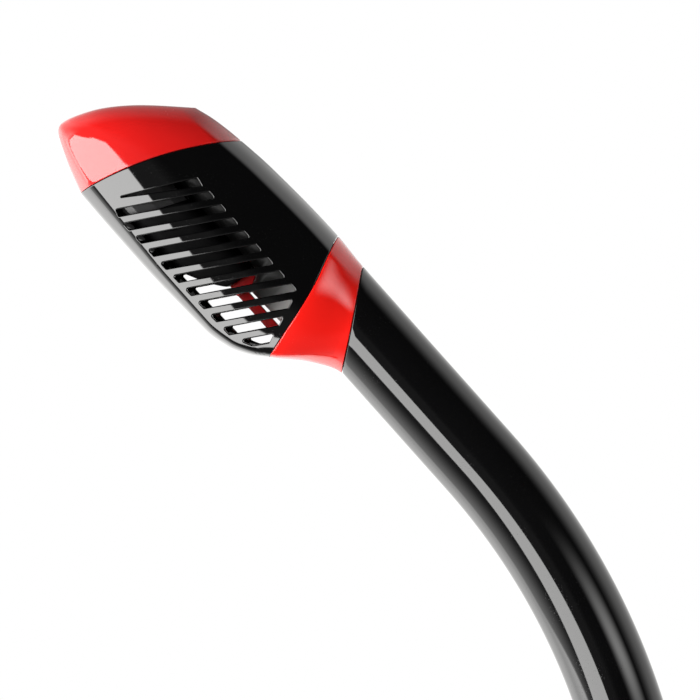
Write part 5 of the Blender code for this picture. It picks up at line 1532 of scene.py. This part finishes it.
# left and below: the light comes off the sweep
sweep = w.span(deg, 52.0, 100.0, 0.14, 2.1)
steep = w.math("DIVIDE", Z, w.math("MINIMUM", X, -0.001))
start = w.span(steep, 0.46, 0.66, 78.0, 101.5)
bank = w.span(w.math("SUBTRACT", deg, start), -4.0, 4.0)
bank_light = w.math("SUBTRACT", w.math("SUBTRACT", 7.0, w.span(deg, 80.0, 110.0, 0.0, 3.2)), w.span(deg, 112.0, 148.0, 0.0, 1.8))
sweep = w.math("ADD", w.math("MULTIPLY", sweep, w.math("SUBTRACT", 1.0, bank)), w.math("MULTIPLY", bank, bank_light))
radiance = w.math("ADD", w.math("MULTIPLY", room, w.math("SUBTRACT", 1.0, lower_left)), w.math("MULTIPLY", sweep, lower_left))
# a broad soft light on the right, low
slope_r = w.math("DIVIDE", Z, w.math("MAXIMUM", X, 0.001))
lamp_r = w.math("POWER", w.span(slope_r, 0.66, 0.27), 1.8)
lamp_r = w.math("MULTIPLY", lamp_r, w.span(slope_r, 0.05, 0.3))
lamp_r = w.math("MULTIPLY", lamp_r, w.math("MULTIPLY", w.span(deg, 30.0, 52.0), w.span(deg, 54.0, 80.0, 1.0, 0.0)))
radiance = w.math("ADD", radiance, w.math("MULTIPLY", lamp_r, w.math("MULTIPLY", w.span(X, 0.0, 0.1), 4.3)))


def edge(ax, az_, bx, bz, soft):
    """1 on the left of the line from a to b in the picture of directions, 0 on its right."""
    dx, dz = bx - ax, bz - az_
    n = math.hypot(dx, dz)
    nx, nz = -dz / n, dx / n
    d = w.math("ADD", w.math("MULTIPLY", w.math("SUBTRACT", gx, ax), nx), w.math("MULTIPLY", w.math("SUBTRACT", gz, az_), nz))
    return w.span(d, -soft, soft)


box_mask = edge(-0.297, -0.272, -0.376, -0.146, 0.012)
box_mask = w.math("MULTIPLY", box_mask, edge(-1.85, -0.85, -0.7, -0.72, 0.015))
box_mask = w.math("MULTIPLY", box_mask, edge(-0.3, 0.10, -1.2, 0.76, 0.04))
box_mask = w.math("MULTIPLY", box_mask, edge(-3.2, 1.0, -3.2, -1.0, 0.05))
box_mask = w.math("MULTIPLY", box_mask, w.span(Y, -0.02, -0.06))
radiance = w.math("ADD", w.math("MULTIPLY", radiance, w.math("SUBTRACT", 1.0, box_mask)), w.math("MULTIPLY", box_mask, 8.7))
path = w.put("ShaderNodeLightPath")
lamp = w.put("ShaderNodeBackground")
lamp.inputs["Color"].default_value = (1, 0.995, 0.985, 1)
w.give(lamp.inputs["Strength"], radiance)
plain = w.put("ShaderNodeBackground")
plain.inputs["Color"].default_value = (1, 1, 1, 1)
plain.inputs["Strength"].default_value = 1.0
both = w.put("ShaderNodeMixShader")
w.give(both.inputs[0], path.outputs["Is Camera Ray"])
w.l.new(lamp.outputs[0], both.inputs[1])
w.l.new(plain.outputs[0], both.inputs[2])
out = w.put("ShaderNodeOutputWorld")
w.l.new(both.outputs[0], out.inputs[0])
world.cycles.sampling_method = "MANUAL"
world.cycles.sample_map_resolution = 1024

# pale floor, below the view; it fades out into the white
bm = bmesh.new()
floor_z = -0.166
rings = [0.0, 0.2, 0.5, 0.9, 1.4]
bmesh.ops.create_circle(bm, cap_ends=True, segments=96, radius=1.4)
mesh = bpy.data.meshes.new("floor")
bm.to_mesh(mesh)
bm.free()
floor = bpy.data.objects.new("floor", mesh)
floor.location = (-0.06, 0.02, floor_z)
scene.collection.objects.link(floor)
fm, fn, fb, fco = new_material("pale_floor", 0.6)
fn.give(fb.inputs["Base Color"], fn.mix(fn.noise(fco, 6.0, 3.0), (0.80, 0.80, 0.79, 1), (0.84, 0.84, 0.83, 1)))
clear_out = fn.put("ShaderNodeBsdfTransparent")
sp = fn.put("ShaderNodeSeparateXYZ")
fn.give(sp.inputs[0], fco)
dist = fn.math("SQRT", fn.math("ADD", fn.math("MULTIPLY", sp.outputs[0], sp.outputs[0]), fn.math("MULTIPLY", sp.outputs[1], sp.outputs[1])))
fmix = fn.put("ShaderNodeMixShader")
fn.give(fmix.inputs[0], fn.span(dist, 0.35, 1.3))
fn.l.new(fb.outputs[0], fmix.inputs[1])
fn.l.new(clear_out.outputs[0], fmix.inputs[2])
fn.l.new(fmix.outputs[0], fn.n["Material Output"].inputs[0])
mesh.materials.append(fm)
floor.visible_glossy = False
